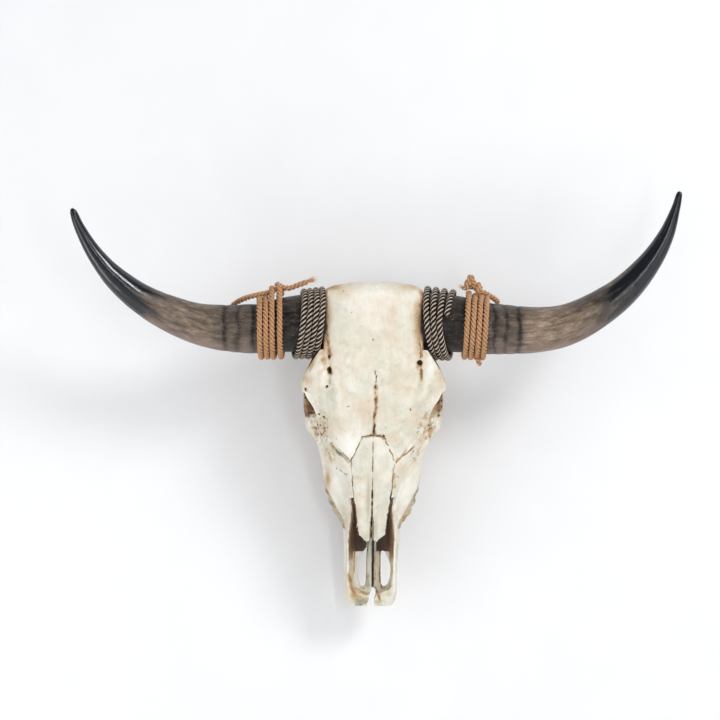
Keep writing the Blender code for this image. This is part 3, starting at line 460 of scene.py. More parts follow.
def openings():
    """Orbits, the slits of the palate, the great hole of the back and the notch of the muzzle."""
    orbits, fronts, rest = bmesh.new(), bmesh.new(), bmesh.new()
    for side in SIDES.values():
        aim = Vector(*mirrored([ORBIT_FACES], side)).to_track_quat("X", "Z")
        ellipsoid(orbits, *mirrored([ORBIT_CENTRE], side), ORBIT_RADII, aim)
        prism(fronts, mirrored(ORBIT_FRONT, side), *ORBIT_DEPTHS)
    for outline in (SLIT_LEFT, SLIT_RIGHT, TIP_NOTCH):
        prism(rest, outline, *PALATE_DEPTHS)
    ellipsoid(rest, *BASE_HOLE)
    return orbits, fronts, rest


def offset(outline, by):
    """The outline with each side moved outwards by this much."""
    points = [Vector(p) for p in outline]
    area = sum(points[i - 1].x * p.y - p.x * points[i - 1].y for i, p in enumerate(points))
    moved = []
    for i, p in enumerate(points):
        before = (p - points[i - 1]).normalized()
        after = (points[(i + 1) % len(points)] - p).normalized()
        out = [Vector((d.y, -d.x)) * math.copysign(1, area) for d in (before, after)]
        corner = out[0] + out[1]
        moved.append(tuple(p + corner * (by / max(corner.dot(out[0]), 0.3))))
    return moved


def nasal_block(outline, by, side):
    """The space of one nasal bone, which ends a little way behind the front of the skull."""
    outline = offset(outline, by)
    front = [millimetres(side * x, -220, z) for x, z in outline]
    back = [millimetres(side * x, NASAL_BACK[0] + NASAL_BACK[1] * z + by, z) for x, z in outline]
    return loft(bmesh.new(), [front, back])


def suture_block(outline, by, depths, side):
    return prism(bmesh.new(), offset(outline, by), depths[0] - by, depths[1] + by, side=side)


def piece_of(name, bm):
    """An object that holds what was built, with its faces out."""
    bmesh.ops.recalc_face_normals(bm, faces=bm.faces)
    mesh = bpy.data.meshes.new(name)
    bm.to_mesh(mesh)
    bm.free()
    return in_scene(bpy.data.objects.new(name, mesh))


def in_scene(obj):
    bpy.context.scene.collection.objects.link(obj)
    return obj


def copy_of(obj):
    return in_scene(bpy.data.objects.new("copy", obj.data.copy()))


def modified(obj, kind, **settings):
    """The object with a modifier's result as its mesh."""
    modifier = obj.modifiers.new(kind, kind)
    for key, value in settings.items():
        setattr(modifier, key, value)
    bpy.context.view_layer.update()
    graph = bpy.context.evaluated_depsgraph_get()
    obj.data = bpy.data.meshes.new_from_object(obj.evaluated_get(graph))
    obj.modifiers.clear()
    return obj


def remeshed(obj, smoothing):
    modified(obj, "REMESH", mode="VOXEL", voxel_size=FINE * MM)
    return modified(obj, "SMOOTH", factor=0.5, iterations=smoothing)


def combined(obj, operation, bm):
    """The object cut by or met with what was built. The new faces have the material that marks a cut."""
    other = piece_of("cutter", bm)
    other.data.materials.append(bpy.data.materials["cut"])
    modified(obj, "BOOLEAN", solver="MANIFOLD", operation=operation, object=other, material_mode="TRANSFER")
    bpy.data.objects.remove(other)
    return obj


def dressed(obj, look):
    obj.data.materials.clear()
    obj.data.materials.append(bpy.data.materials[look])
    obj.data.polygons.foreach_set("material_index", np.zeros(len(obj.data.polygons), np.int32))
    return obj


# Noise and distances

def clouds(points, size, seed):
    """Smooth noise from -1 to 1 at each point, in lumps of this size."""
    cells = np.asarray(points, float) / size
    low = np.floor(cells)
    t = cells - low
    t = t * t * t * (t * (t * 6 - 15) + 10)
    low = low.astype(np.int64)
    total = np.zeros(len(cells))
    for corner in product((0, 1), repeat=3):
        key = (low + corner) @ np.array([73856093, 19349663, 83492791]) + seed * 2654435761
        key = (key ^ (key >> 13)) * 1274126177 & 0xFFFFFFFF
        key = (key ^ (key >> 16)) * 668265263 & 0xFFFFFFFF
        value = (key >> 8 & 0xFFFF) / 32767.5 - 1
        total += value * np.prod(np.where(corner, t, 1 - t), axis=1)
    return total


def layered(points, size, seed, layers=3):
    """Noise of several sizes, each half the one before."""
    return sum(clouds(points, size / 2**i, seed + i) / 2**i for i in range(layers))


def step_up(value, low, high):
    t = np.clip((value - low) / (high - low), 0, 1)
    return t * t * (3 - 2 * t)


def bell(distance, half):
    return np.exp(-((distance / half) ** 2))


def away(points, path):
    """How far each point lies from a path."""
    path = np.array(path, float)
    best = np.full(len(points), np.inf)
    for a, b in zip(path, path[1:]):
        ab = b - a
        t = np.clip((points - a) @ ab / (ab @ ab), 0, 1)
        best = np.minimum(best, np.linalg.norm(points - a - t[:, None] * ab, axis=1))
    return best


def jagged(outline, seed):
    """The outline with its sides off the middle line broken up as a suture is."""
    chance = random.Random(seed)
    found = []
    for a, b in zip(outline, outline[1:] + outline[:1]):
        a, b = Vector(a), Vector(b)
        found.append(tuple(a))
        if max(abs(a.x), abs(b.x)) < 2:
            continue
        side = (b - a).normalized().orthogonal()
        count = int((b - a).length / SUTURE_STEP)
        for i in range(1, count):
            swing = side * SUTURE_SWING * chance.uniform(-1, 1)
            found.append(tuple(a.lerp(b, (i + chance.uniform(-0.25, 0.25)) / count) + swing))
    return found


def places_of(obj):
    """The points and normals of a mesh, in mm."""
    found = np.empty((2, len(obj.data.vertices) * 3), np.float32)
    obj.data.vertices.foreach_get("co", found[0])
    obj.data.vertex_normals.foreach_get("vector", found[1])
    points, normals = found.astype(float).reshape(2, -1, 3)
    return points / MM, normals


def put(obj, points):
    obj.data.vertices.foreach_set("co", (points * MM).astype(np.float32).ravel())
    obj.data.update()


def store(obj, name, kind, values):
    """Stores a value for each point of a mesh, for its material."""
    field = {"FLOAT": "value", "FLOAT_VECTOR": "vector", "FLOAT_COLOR": "color"}[kind]
    made = obj.data.attributes.new(name, kind, "POINT")
    made.data.foreach_set(field, np.asarray(values, np.float32).ravel())


# The skull

def keyed(keys, heights):
    """A profile's value at many heights, read from a fine table of the same smooth curve."""
    table = np.arange(-345, 112, 1.5)
    return np.interp(heights, table, [curve(keys, z) for z in table])


def marks(points, normals):
    """Each point's dent in mm, and its dirt with painted shade, rust, moss, and paleness with painted highlights,
    from 0 to 1.
    """
    x, y, z = points.T
    down, wide, out = -z, np.abs(x), -normals[:, 1]
    front, edge_x, edge_y, side_x, side_y = (keyed(keys, z) for keys in (FRONT_Y, EDGE_X, EDGE_Y, SIDE_X, SIDE_Y))
    faces_front, ahead, behind = step_up(out, 0.1, 0.5), step_up(out, -0.4, 0.1), step_up(-out, -0.3, 0.5)
    shell = faces_front * np.maximum(step_up(front - y, -40, -26), step_up(down, 240, 250))

    def noise(size, seed, layers=3):
        return layered(points, size, seed, layers)

    def paint(kind, amount):
        stains_and_shading[kind] = np.maximum(stains_and_shading[kind], amount)

    fine, middling, broad = noise(3.2, 60, 2), noise(9, 61), noise(34, 48)
    dent = 0.3 * noise(16, 50) + 0.7 * noise(45, 52, 2) + 0.12 * fine
    stains_and_shading = np.zeros((4, len(x)))

    warp = np.stack([clouds(points, 3, 81) + clouds(points, 8, 82), clouds(points, 3, 83)], axis=1)
    flat = points[:, [0, 2]] + 0.9 * warp
    for kind, strength, half, deep, path in STROKES:
        near = bell(away(flat, path), half) * shell
        near *= np.clip((0.65 + 0.8 * fine) if kind == DIRT_AND_SHADE else (0.85 + 0.5 * middling), 0.1, 1.2)
        dent += deep * near
        paint(kind, strength * near)
    for kind, strength, px, pz, rx, rz in BLOTS:
        reach = ((x - px) / rx) ** 2 + ((z - pz) / rz) ** 2
        paint(kind, strength * np.exp(-reach * np.clip(1 + 0.5 * middling, 0.3, 2)) * ahead)
    # Each pit is dented and painted dark inside, a painted shade in the hole, with a rusty ring round it.
    for px, pz, rx, rz, deep in PITS:
        hole = 1 - step_up(np.hypot((flat[:, 0] - px) / rx, (flat[:, 1] - pz) / rz), 0.65, 1.15)
        dent += deep * hole * shell
        paint(DIRT_AND_SHADE, hole * shell)
        ring = np.hypot((flat[:, 0] - px) / (rx + 0.3 * deep), (flat[:, 1] - pz + 1) / (rz + 0.4 * deep))
        paint(RUST, 0.5 * (1 - step_up(ring, 0.6, 1.3)) * shell)

    # Bone that crumbles below the orbits and beside the nasals, and stray pits.
    crumbly = bell(((wide - 70) / 14) ** 2 + ((z + 90) / 22) ** 2, 1)
    crumbly = np.maximum(crumbly, 0.8 * np.exp(-(((wide - 57) / 9) ** 2 + ((z + 126) / 16) ** 2)))
    holes = step_up(noise(3.2, 64, 2), 0.42, 0.72)
    dent += crumbly * (0.9 * noise(5, 63, 2) + 1.2 * holes)
    paint(DIRT_AND_SHADE, 0.75 * crumbly * holes)
    paint(RUST, crumbly * (0.26 + 0.35 * noise(7, 65, 2)))
    stray = step_up(noise(2.6, 66, 2), 1.2, 1.35) * shell
    dent += 0.5 * stray
    paint(RUST, 0.8 * stray)

    # The nasal bones bulge, each side of their seam.
    nasal = np.interp(down, [-p for _, p in NASAL[:-1]], [w for w, _ in NASAL[:-1]])
    between = (z < -100) & (z > -241) & (wide < nasal)
    dent -= between * 2.2 * np.sin(math.pi * np.clip(wide / np.maximum(nasal, 0.001), 0, 1)) * faces_front

    # The orbits.
    rim = np.interp(down, [-p for _, p in ORBIT_FRONT[:4]] + [78], [w for w, _ in ORBIT_FRONT[:4]] + [72])
    beyond = step_up(wide - rim, 0.5, 2.0) * step_up(down, 39, 43) * step_up(z, -80, -74)
    orbit = np.linalg.norm((np.stack([wide, y, z], axis=1) - ORBIT_CENTRE) / (46, 27, 28), axis=1)
    socket = np.maximum(1 - step_up(orbit, 0.9, 1.06), beyond * step_up(y, -140, -120))
    paint(RUST, socket * (0.5 + 0.35 * middling))
    paint(DIRT_AND_SHADE, socket * 0.8 * step_up(noise(3.4, 44), 0.3, 0.9))
    paint(MOSS, socket * (x > 0) * 0.45)
    paint(PALE_AND_HIGHLIGHT, bell(rim - wide, 3) * step_up(down, 38, 44) * step_up(z, -82, -74) * faces_front)

    # The inside of the nose, which gets darker and rustier upwards, and the groove of its floor.
    skin = edge_y + (side_y - edge_y) * (wide - edge_x) / np.maximum(side_x - edge_x, 0.5)
    skin = np.where(wide < edge_x, front + (edge_y - front) * (wide / edge_x) ** 2, skin)
    reach = edge_x + (side_x - edge_x) * np.clip((y - edge_y) / (side_y - edge_y), 0, 1.3)
    inner = step_up(reach - wide, 1.5, 3.2) * step_up(y - skin, 1.2, 3.5) * step_up(z, -326, -318)
    # The inside of the nose, which gets rustier upwards and darker upwards with painted shade, and the groove of its
    # floor.
    inner *= (y < side_y + 3) * step_up(down, 172, 180)
    upper = step_up(z + 3 * middling + np.where(wide < 13, -14, 0), -284, -258)
    paint(RUST, inner * upper * (0.95 - 0.3 * step_up(wide + 3 * fine, 23, 29)))
    paint(DIRT_AND_SHADE, inner * upper * (0.6 - 0.45 * step_up(wide + 3 * middling, 20, 27)))
    paint(RUST, inner * (1 - upper) * (0.16 + 0.2 * middling))
    paint(MOSS, inner * (1 - upper) * np.where(wide < 14, 0.42, 0.3) * (1 + 0.5 * fine))
    groove = bell(x - 2.6 + 0.25 * fine, 1.7) * step_up(down, 240, 250) * step_up(z, -316, -308)
    dent += groove * 2.4 - 1.0 * bell(np.abs(x - 2.6) - 6, 3) * step_up(down, 246, 256) * (z > -312)
    paint(DIRT_AND_SHADE, groove * (y > skin + 1))
    # The hollow beside and under the nasal bones, painted dark as shade, darkest away from its side walls, and
    # rusty.
    aside = out < 0.55
    side_of = np.interp(down, [p for p, _ in CAVITY], [w for _, w in CAVITY]) + 0.5 * fine
    cavity = (1 - step_up(wide - side_of, -1.0, 0.6)) * ((wide > nasal + 0.8) | aside) * (z < -176) * (z > -262)
    cavity = np.maximum(cavity, (wide < nasal + 1) * aside * (z < -176) * (z > -250))
    paint(DIRT_AND_SHADE, cavity * (0.62 - 0.5 * step_up(wide + fine - side_of, -10, -2)))
    paint(RUST, cavity * (0.72 + 0.25 * layered(points * (1, 1, 0.2), 5, 67, 2)))

    # Painted shade on the temples behind the brows, the jaws with the roots of their teeth, and the back.
    temple_shade = step_up(wide - 71.8 - 0.664 * (10 - z), 0.3, 1.6) * step_up(z, -17, -11) * step_up(down, -20, -12)
    paint(DIRT_AND_SHADE, 0.95 * temple_shade)
    jaw = (wide > 26) * step_up(down, 112, 122) * (z > -230)
    rough = step_up(y, -92, -84) * jaw * step_up(wide - side_x, -4, 0) * step_up(down, 150, 172)
    dent += rough * (0.5 * noise(5, 70, 2) + 0.6 * holes)
    paint(RUST, rough * (0.22 + 0.4 * middling))
    paint(MOSS, rough * (0.55 - 0.3 * middling))
    paint(DIRT_AND_SHADE, rough * 0.55 * step_up(noise(2.6, 72, 2), 0.3, 1.0))
    alveoli = bell(y + 66, 7) * jaw
    dent += alveoli * 0.5 * noise(4, 71, 2)
    paint(DIRT_AND_SHADE, 0.6 * alveoli * step_up(noise(5, 47), 0.0, 1.2))
    paint(RUST, behind * (0.22 + 0.25 * broad))
    paint(DIRT_AND_SHADE, 0.3 * behind * step_up(middling, 0.2, 1.2))
    paint(MOSS, 0.22 * step_up(broad, 0.1, 1.0))
    paint(RUST, 0.2 * step_up(noise(26, 51), 0.1, 1.2))
    return dent, np.clip(stains_and_shading.T, 0, 1)


def carved(obj):
    """The bone's own relief: its seams, grooves, pits and grain."""
    remeshed(obj, LAST_SMOOTHING)
    points, normals = places_of(obj)
    dent, _ = marks(points, normals)
    put(obj, points - normals * dent[:, None])
    return dressed(obj, "bone")


def whole_skull():
    """The skull's shell without the nasal bones' overhang, and a block of its front round the nasal bones."""
    whole = remeshed(piece_of("skull", skull_solids()), SMOOTHING)
    nose = combined(copy_of(whole), "INTERSECT", prism(bmesh.new(), *NASAL_SPACE))
    for cutter in (nose_cavity(), prism(bmesh.new(), *PARTING_SPACE)):
        combined(nose, "DIFFERENCE", cutter)
    for cutter in (prism(bmesh.new(), *NOSE_SPACE), nose_cavity(), *openings()):
        combined(whole, "DIFFERENCE", cutter)
    return carved(whole), carved(nose)


def parted_skull():
    """The bones, parted along jagged sutures, and the cranium that is left."""
    whole, nose = whole_skull()
    half = SUTURE_GAP / 2
    made = {}
    for word, side in SIDES.items():
        outline = jagged(NASAL, 20 + side)
        made[f"nasal_{word}"] = combined(copy_of(nose), "INTERSECT", nasal_block(outline, -half, side))
        combined(whole, "DIFFERENCE", nasal_block(outline, half, side))
    bpy.data.objects.remove(nose)
    for seed, (name, outline, depths) in enumerate(BONES):
        for word, side in SIDES.items():
            rough = jagged(outline, 30 + 2 * seed + side)
            block = suture_block(rough, -half, depths, side)
            made[f"{name}_{word}"] = combined(copy_of(whole), "INTERSECT", block)
            combined(whole, "DIFFERENCE", suture_block(rough, half, depths, side))
    return {**made, "cranium": whole}


def islands_of(bm):
    left, found = set(bm.verts), []
    while left:
        island, edge = [], [left.pop()]
        while edge:
            vert = edge.pop()
            island.append(vert)
            near = {e.other_vert(vert) for e in vert.link_edges} & left
            left -= near
            edge.extend(near)
        found.append(island)
    return sorted(found, key=len)


def rim_of(bm):
    """The points where the surface of a bone meets a cut through it, each with the surface's own normal."""
    edges = [e for e in bm.edges if len({f.material_index for f in e.link_faces}) > 1]
    found = {}
    for vert in {v for e in edges for v in e.verts}:
        faces = [f for f in vert.link_faces if f.material_index == 0]
        found[vert] = sum((f.normal * f.calc_area() for f in faces), Vector()).normalized()
    return found


def cleaned(obj):
    """Drops crumbs that the cuts left, and makes the faces beside each suture finer."""
    bm = bmesh.new()
    bm.from_mesh(obj.data)
    crumbs = [v for island in islands_of(bm)[:-1] for v in island]
    bmesh.ops.delete(bm, geom=crumbs, context="VERTS")
    rim = set(rim_of(bm))
    beside = {f for v in rim for f in v.link_faces if f.material_index == 0}
    long = {e for f in beside for e in f.edges if e.calc_length() > RIM_EDGE * MM and not set(e.verts) <= rim}
    bmesh.ops.subdivide_edges(bm, edges=list(long), cuts=1)
    bmesh.ops.triangulate(bm, faces=[f for f in bm.faces if len(f.verts) > 4])
    bm.normal_update()
    bm.to_mesh(obj.data)
    bm.free()


def suture_wear(points):
    """How worn and dark a suture is at each point, from 0 to 1."""
    folded = np.stack([np.abs(points[:, 0]), points[:, 2]], axis=1)
    nasal = np.minimum(away(folded, NASAL), folded[:, 0] + (folded[:, 1] < NASAL[-2][1]) * 99)
    deeper = 0.45 + 0.5 * step_up(-folded[:, 1], 165, 180)
    return 0.06 + deeper * bell(nasal, 4) + 0.4 * bell(away(folded, MAXILLA[:3]), 5) * (nasal > 4)


def worn_rims(obj):
    """Sinks a bone's edges beside each suture. It returns how close each point lies to one, from 0 to 1."""
    bm = bmesh.new()
    bm.from_mesh(obj.data)
    rim = [(v.index, v.co.copy(), normal) for v, normal in rim_of(bm).items()]
    bm.free()
    points, normals = places_of(obj)
    tree = KDTree(len(rim))
    for i, (index, co, normal) in enumerate(rim):
        tree.insert(co, i)
        normals[index] = normal
    tree.balance()
    reach = np.array([tree.find(Vector(p))[2] for p in points * MM]) / MM
    near = bell(reach, RIM_WIDE) * np.clip(0.6 + 0.5 * clouds(points, 5, 80), 0.1, 1) * suture_wear(points)
    put(obj, points - normals * (near * RIM_DEEP)[:, None])
    return near


def hollowness(obj, points, normals):
    """How hollow the surface is at each point, in 1/mm; ridges are below 0."""
    ends = np.empty(len(obj.data.edges) * 2, np.int32)
    obj.data.edges.foreach_get("vertices", ends)
    a, b = ends.reshape(-1, 2).T

    def mean_of(at_a, at_b):
        return (np.bincount(a, at_a, len(points)) + np.bincount(b, at_b, len(points))) / count

    count = np.maximum(np.bincount(ends, minlength=len(points)), 1)
    step = points[b] - points[a]
    span = np.maximum((step**2).sum(axis=1), 0.05)
    bend = mean_of((step * normals[a]).sum(axis=1) / span, -(step * normals[b]).sum(axis=1) / span)
    for _ in range(HOLLOW_SMOOTHING):
        bend = mean_of(bend[b], bend[a])
    return bend


def stained_and_shaded(obj):
    """Stores the bone's dirt, rust, moss and paleness for its material, with painted shade in its hollows and
    painted highlights on its ridges.
    """
    near = worn_rims(obj)
    points, normals = places_of(obj)
    _, stains_and_shading = marks(points, normals)
    bend = hollowness(obj, points, normals)
    # Paler on ridges and rustier in hollows: partly the cast's dry-brushed pale paint and brown wash, and partly
    # painted highlights and painted shade.
    for kind, amount in (
        (PALE_AND_HIGHLIGHT, step_up(-bend, 0.035, 0.14)),
        (RUST, 0.55 * step_up(bend, 0.02, 0.12)),
        (DIRT_AND_SHADE, np.clip(1.25 * near, 0, 1)),
        (RUST, np.clip(0.9 * near**0.5 - 0.15, 0, 1)),
    ):
        stains_and_shading[:, kind] = np.maximum(stains_and_shading[:, kind], amount)
    store(obj, "stain_and_shading", "FLOAT_COLOR", stains_and_shading)


def swayed(obj):
    """Leans the part below the orbits a little to one side, as the casting does."""
    points, _ = places_of(obj)
    points[:, 0] += SWAY * np.minimum(0, points[:, 2] - SWAY_TOP)
    put(obj, points)


def placed(obj, node, look):
    """Puts a piece in the frame, in the place of its node."""
    obj.name = f"{node}_finish"
    obj.data.transform(Matrix.Translation(millimetres(0, 0, -ORIGIN_Z)))
    dressed(obj, look)
    obj.data.shade_smooth()
    obj.data.set_sharp_from_angle(angle=SHARP)
    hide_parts(node)
    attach(obj, "root")


def skull():
    bones = parted_skull()
    low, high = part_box("wall_pad")
    outline = [(low.x, low.z), (high.x, low.z), (high.x, high.z), (low.x, high.z)]
    outline = offset([(x / MM, z / MM + ORIGIN_Z) for x, z in outline], SEAT_ROOM)
    rooms = [prism(bmesh.new(), outline, low.y / MM - GAP, 20)]
    for side, band in ((-1, BAND_LEFT), (1, BAND_RIGHT)):
        rooms += [horn_room(side), cord_room(band)]
    for room in rooms:
        combined(bones["cranium"], "DIFFERENCE", room)
    for node, obj in bones.items():
        cleaned(obj)
        stained_and_shaded(obj)
        swayed(obj)
        placed(obj, node, "bone")


# Horns and cords

def horn_room(side):
    """The space of the horn's base and of the cord round it, just outside the skull."""
    turns = angles(HORN_SIDES)
    circle = [(HORN_Y + math.cos(t) * HORN_CLEARANCE, HORN_Z + math.sin(t) * HORN_CLEARANCE) for t in turns]
    ends = (CORE_END, CORE_END + HORN_ROOM)
    return loft(bmesh.new(), [[millimetres(side * x, y, z) for y, z in circle] for x in ends])


def winding(start, faces, runs, radii, turns, apart, fan, fall, steps):
    """The middle line of a cord wound round a horn, from the skull out, with these steps to a turn."""
    axis = Vector(faces).normalized()
    back = Vector((0, 1, 0)) - axis * axis.y
    back.normalize()
    up = back.cross(axis) * math.copysign(1, -axis.x)
    step = Vector(runs).normalized() * (2 * CORD_RADIUS + TURN_GAP)
    points = []
    for i in range(round(turns * steps) + 1):
        turn = i / steps
        radius = radii[0] + (radii[1] - radii[0]) * turn / 4 + GAP + CORD_RADIUS
        radius /= math.cos(math.pi / steps)
        rise = math.sin(math.tau * turn) * fall
        around = back * math.cos(math.tau * turn) + up * rise
        later = min(max((turn - 0.75) / 0.5, 0), 1)
        along = step * turn * (1 + fan * max(rise, 0)) + step.normalized() * apart * (later - 1)
        points.append(Vector(start) + along + around * radius)
    return points


def cord_room(where):
    """The space that a winding's first turn takes beside the skull."""
    room = CORD_RADIUS + CORD_ROOM
    first = winding(**where, steps=ROOM_STEPS)[: ROOM_STEPS + 1]
    return bar(bmesh.new(), first, [(room, room)], (1, 0, 0), sides=8, steps=1)


def lengths_of(path):
    steps = np.linalg.norm(np.diff(path, axis=0), axis=1)
    return np.concatenate([[0], np.cumsum(steps)])


def frames_along(path, hint):
    """Two steady directions across a path at each of its points."""
    along = np.gradient(path, axis=0)
    along /= np.linalg.norm(along, axis=1)[:, None]
    across = np.zeros_like(along)
    last = np.array(hint, float)
    for i, t in enumerate(along):
        last = last - t * (last @ t)
        last /= np.linalg.norm(last)
        across[i] = last
    return across, np.cross(along, across)


def ways_out(path, hint, count):
    """The directions round a path, at each of its points."""
    across, up = (way[:, None, :] for way in frames_along(path, hint))
    turns = angles(count)[None, :, None]
    return across * np.cos(turns) + up * np.sin(turns)


def rings_of(points):
    return [[Vector(p) * MM for p in ring] for ring in points]


def horn(keys, rings, fades, seed):
    """One horn with fine ridges along it, ring-shaped hollows and its tones."""
    places = spline(keys, HORN_STEPS)
    path, radii = places[:, :3], places[:, 3]
    lengths, turns = lengths_of(path), angles(HORN_SIDES)
    spread = ways_out(path, (0, 0, 1), HORN_SIDES)
    points = path[:, None, :] + spread * radii[:, None, None]
    shape = (len(path), HORN_SIDES)

    def unrolled(long, radius):
        """Where each point would be if the horn were straight."""
        flat = (long[:, None], np.cos(turns) * radius, np.sin(turns) * radius)
        return np.stack(np.broadcast_arrays(*flat), axis=2).reshape(-1, 3)

    flat = unrolled(lengths / 14, radii[:, None])
    ridges = layered(flat, 5, seed, 2).reshape(shape)
    lumps = layered(points.reshape(-1, 3), 14, 94, 2).reshape(shape)
    streaks = layered(flat * (1, 0.5, 0.5), 4, seed + 5, 3).reshape(shape)
    dent = step_up(radii, 4, 16)[:, None] * (0.12 * ridges + 0.12 * lumps)
    reach = np.abs(points[:, :, 0]) + 2.5 * lumps
    top = np.broadcast_to(np.cos(turns), shape)
    tones = np.zeros((4, *shape))
    for at, deep, half in rings:
        ring = bell(reach - at, half) * (1 - 0.35 * step_up(-top + 0.4 * streaks, 0.3, 1))
        dent += 0.8 * deep * ring
        tones[DARK] = np.maximum(tones[DARK], deep * ring)
    dark_to, pale_from, brown_from, black_from, paleness = fades
    streaked = reach + 13 * streaks
    # The dark base is paler on its upper side, a painted highlight along the top of the horn.
    base = (1 - step_up(reach, dark_to - 8, dark_to + 8)) * (0.95 - 0.35 * step_up(top + 0.3 * lumps, 0.2, 0.95))
    tones[DARK] = np.maximum(tones[DARK], base)
    beige = step_up(streaked, pale_from - 14, pale_from + 14)
    beige *= 1 - step_up(streaked, brown_from - 30, brown_from + 30)
    tones[BEIGE] = paleness * beige * (1 - 0.5 * step_up(top + 0.3 * streaks, 0.3, 0.9))
    tones[BLACK] = step_up(reach + 26 * streaks, black_from - 26, black_from + 22)
    tones[PINK] = step_up(-top + 0.3 * lumps, 0.35, 0.95) * (1 - tones[BLACK])
    points = points - spread * (dent + HORN_SKIN)[:, :, None] * step_up(radii, 1, 4)[:, None, None]
    obj = piece_of("horn", loft(bmesh.new(), rings_of(points)))
    radius = np.linalg.norm(points - points.mean(axis=1, keepdims=True), axis=2)
    store(obj, "straight", "FLOAT_VECTOR", unrolled(lengths, radius))
    store(obj, "tone", "FLOAT_COLOR", np.clip(np.moveaxis(tones, 0, 2), 0, 1))
    return obj


def strand_radius(turns, strands):
    """How far the surface of a twisted cord of radius 1 lies from its middle, at angles round it."""
    lobe = np.mod(turns, math.tau / strands)
    lobe = np.minimum(lobe, math.tau / strands - lobe)
    half = math.sin(math.pi / strands)
    thick = 1.04 * half / (1 + half)
    out = 1 - thick
    return out * np.cos(lobe) + np.sqrt(np.maximum(thick**2 - (out * np.sin(lobe)) ** 2, 0.02))


def rope(path, radius, twist_of, seed):
    """A twisted cord's rings of points, with how deep each lies between its strands, and where along it and
    round it."""
    lengths = lengths_of(path)
    at = np.linspace(0, lengths[-1], max(4, int(lengths[-1] / ROPE_STEP)))
    path = np.stack([np.interp(at, lengths, side) for side in np.transpose(path)], axis=1)
    lengths = lengths_of(path)
    pitch, strands = twist_of
    lobes = angles(ROPE_SIDES) - (math.tau * lengths / pitch)[:, None]
    lobed = strand_radius(lobes, strands)
    width = radius * (1 + 0.05 * clouds(np.outer(lengths / 9, (1, 0, 0)), 1, seed))
    near_end = np.minimum(lengths, lengths[-1] - lengths) / (0.9 * radius)
    reach = lobed * (width * np.sqrt(np.clip(near_end, 0.03, 1)))[:, None]
    points = path[:, None, :] + ways_out(path, (0.3, 0.5, 0.8), ROPE_SIDES) * reach[:, :, None]
    return points, 1 - lobed, np.broadcast_to(lengths[:, None], lobed.shape), lobes


def corded(parts, hairs):
    """One piece of rope from its parts, with loose fibres."""
    bm = bmesh.new()
    for points, *_ in parts:
        loft(bm, rings_of(points))
    roped = len(bm.verts)
    for hair in hairs:
        fibre(bm, hair)
    straight = np.zeros((len(bm.verts), 3))
    crease = np.zeros(len(bm.verts))
    crease[:roped], along, turn = (np.concatenate([part[i].ravel() for part in parts]) for i in (1, 2, 3))
    straight[:roped] = np.stack([along, np.cos(turn) * CORD_RADIUS, np.sin(turn) * CORD_RADIUS], axis=1)
    obj = piece_of("cord", bm)
    store(obj, "crease", "FLOAT", crease)
    store(obj, "straight", "FLOAT_VECTOR", straight)
    return obj


def fibre(bm, route):
    """A fine loose fibre, three-sided and pointed at its end."""
    path = np.array(route, float)
    radii = FIBRE_RADIUS * (1 - 0.85 * np.arange(len(path)) / (len(path) - 1))
    loft(bm, rings_of(path[:, None, :] + ways_out(path, (0.4, 0.7, 0.2), 3) * radii[:, None, None]))


def fuzz(parts, kinds):
    """Short fibres that stand off a rope at random places."""
    sizes = [len(points) for points, *_ in parts]
    steps = np.linspace(0, 1, 4)[:, None]
    found = []
    for count, seed, longest in kinds:
        chance = random.Random(seed)
        for _ in range(count):
            points = parts[chance.choices(range(len(parts)), sizes)[0]][0]
            i = chance.randrange(2, len(points) - 2)
            j = chance.randrange(points.shape[1])
            root = points[i, j]
            out = root - points[i].mean(axis=0)
            out /= np.linalg.norm(out)
            along = points[i + 1, j] - points[i - 1, j]
            along /= np.linalg.norm(along)
            lean = out * chance.uniform(0.25, 1.0) + along * chance.uniform(-1, 1)
            curl = np.array([chance.uniform(-1, 1) for _ in range(3)])
            length = longest * chance.uniform(0.3, 1)
            found.append(root - out * 0.2 + length * (lean * steps + 0.35 * curl * steps**2))
    return found


def tuft(end, before, count, seed, longest):
    """The fibres of a cord's frayed end."""
    chance = random.Random(seed)

    def anywhere(size):
        return Vector([chance.uniform(-1, 1) for _ in range(3)]) * size

    way = (Vector(end) - Vector(before)).normalized()
    found = []
    for _ in range(count):
        start = Vector(end) + anywhere(0.6 * CORD_RADIUS)
        lean, curl = way + anywhere(0.55), anywhere(0.4)
        length = longest * chance.uniform(0.4, 1)
        found.append([start + length * (lean * s + curl * s * s) for s in (0, 0.35, 0.7, 1)])
    return found


def lifted(where, lifts):
    """A winding whose turns stand off the horn on top, by so much at each numbered turn."""
    points = winding(**where, steps=WINDING_STEPS)
    axis = Vector(where["faces"]).normalized()
    top = 0.5 - 0.25 * where["fall"]
    for i, p in enumerate(points):
        number, turn = divmod(i / WINDING_STEPS, 1)
        out = p - Vector(where["start"])
        out -= axis * out.dot(axis)
        points[i] = p + out.normalized() * lifts.get(number, 0) * bell(turn - top, 0.09)
    return points


def loop_round(centre, axis, radius, height):
    """A closed-looking turn of cord round a line."""
    axis = Vector(axis).normalized()
    side = axis.orthogonal().normalized()
    up = axis.cross(side)
    turns = np.linspace(0, math.tau * 1.05, 30)
    return [Vector(centre) + (side * math.cos(t) + up * math.sin(t)) * radius + axis * height * (t / math.tau - 0.5)
            for t in turns]


def striped_band(where):
    parts = [rope(lifted(where, {}), CORD_RADIUS, BAND_TWIST, 5)]
    return corded(parts, fuzz(parts, BAND_FUZZ))


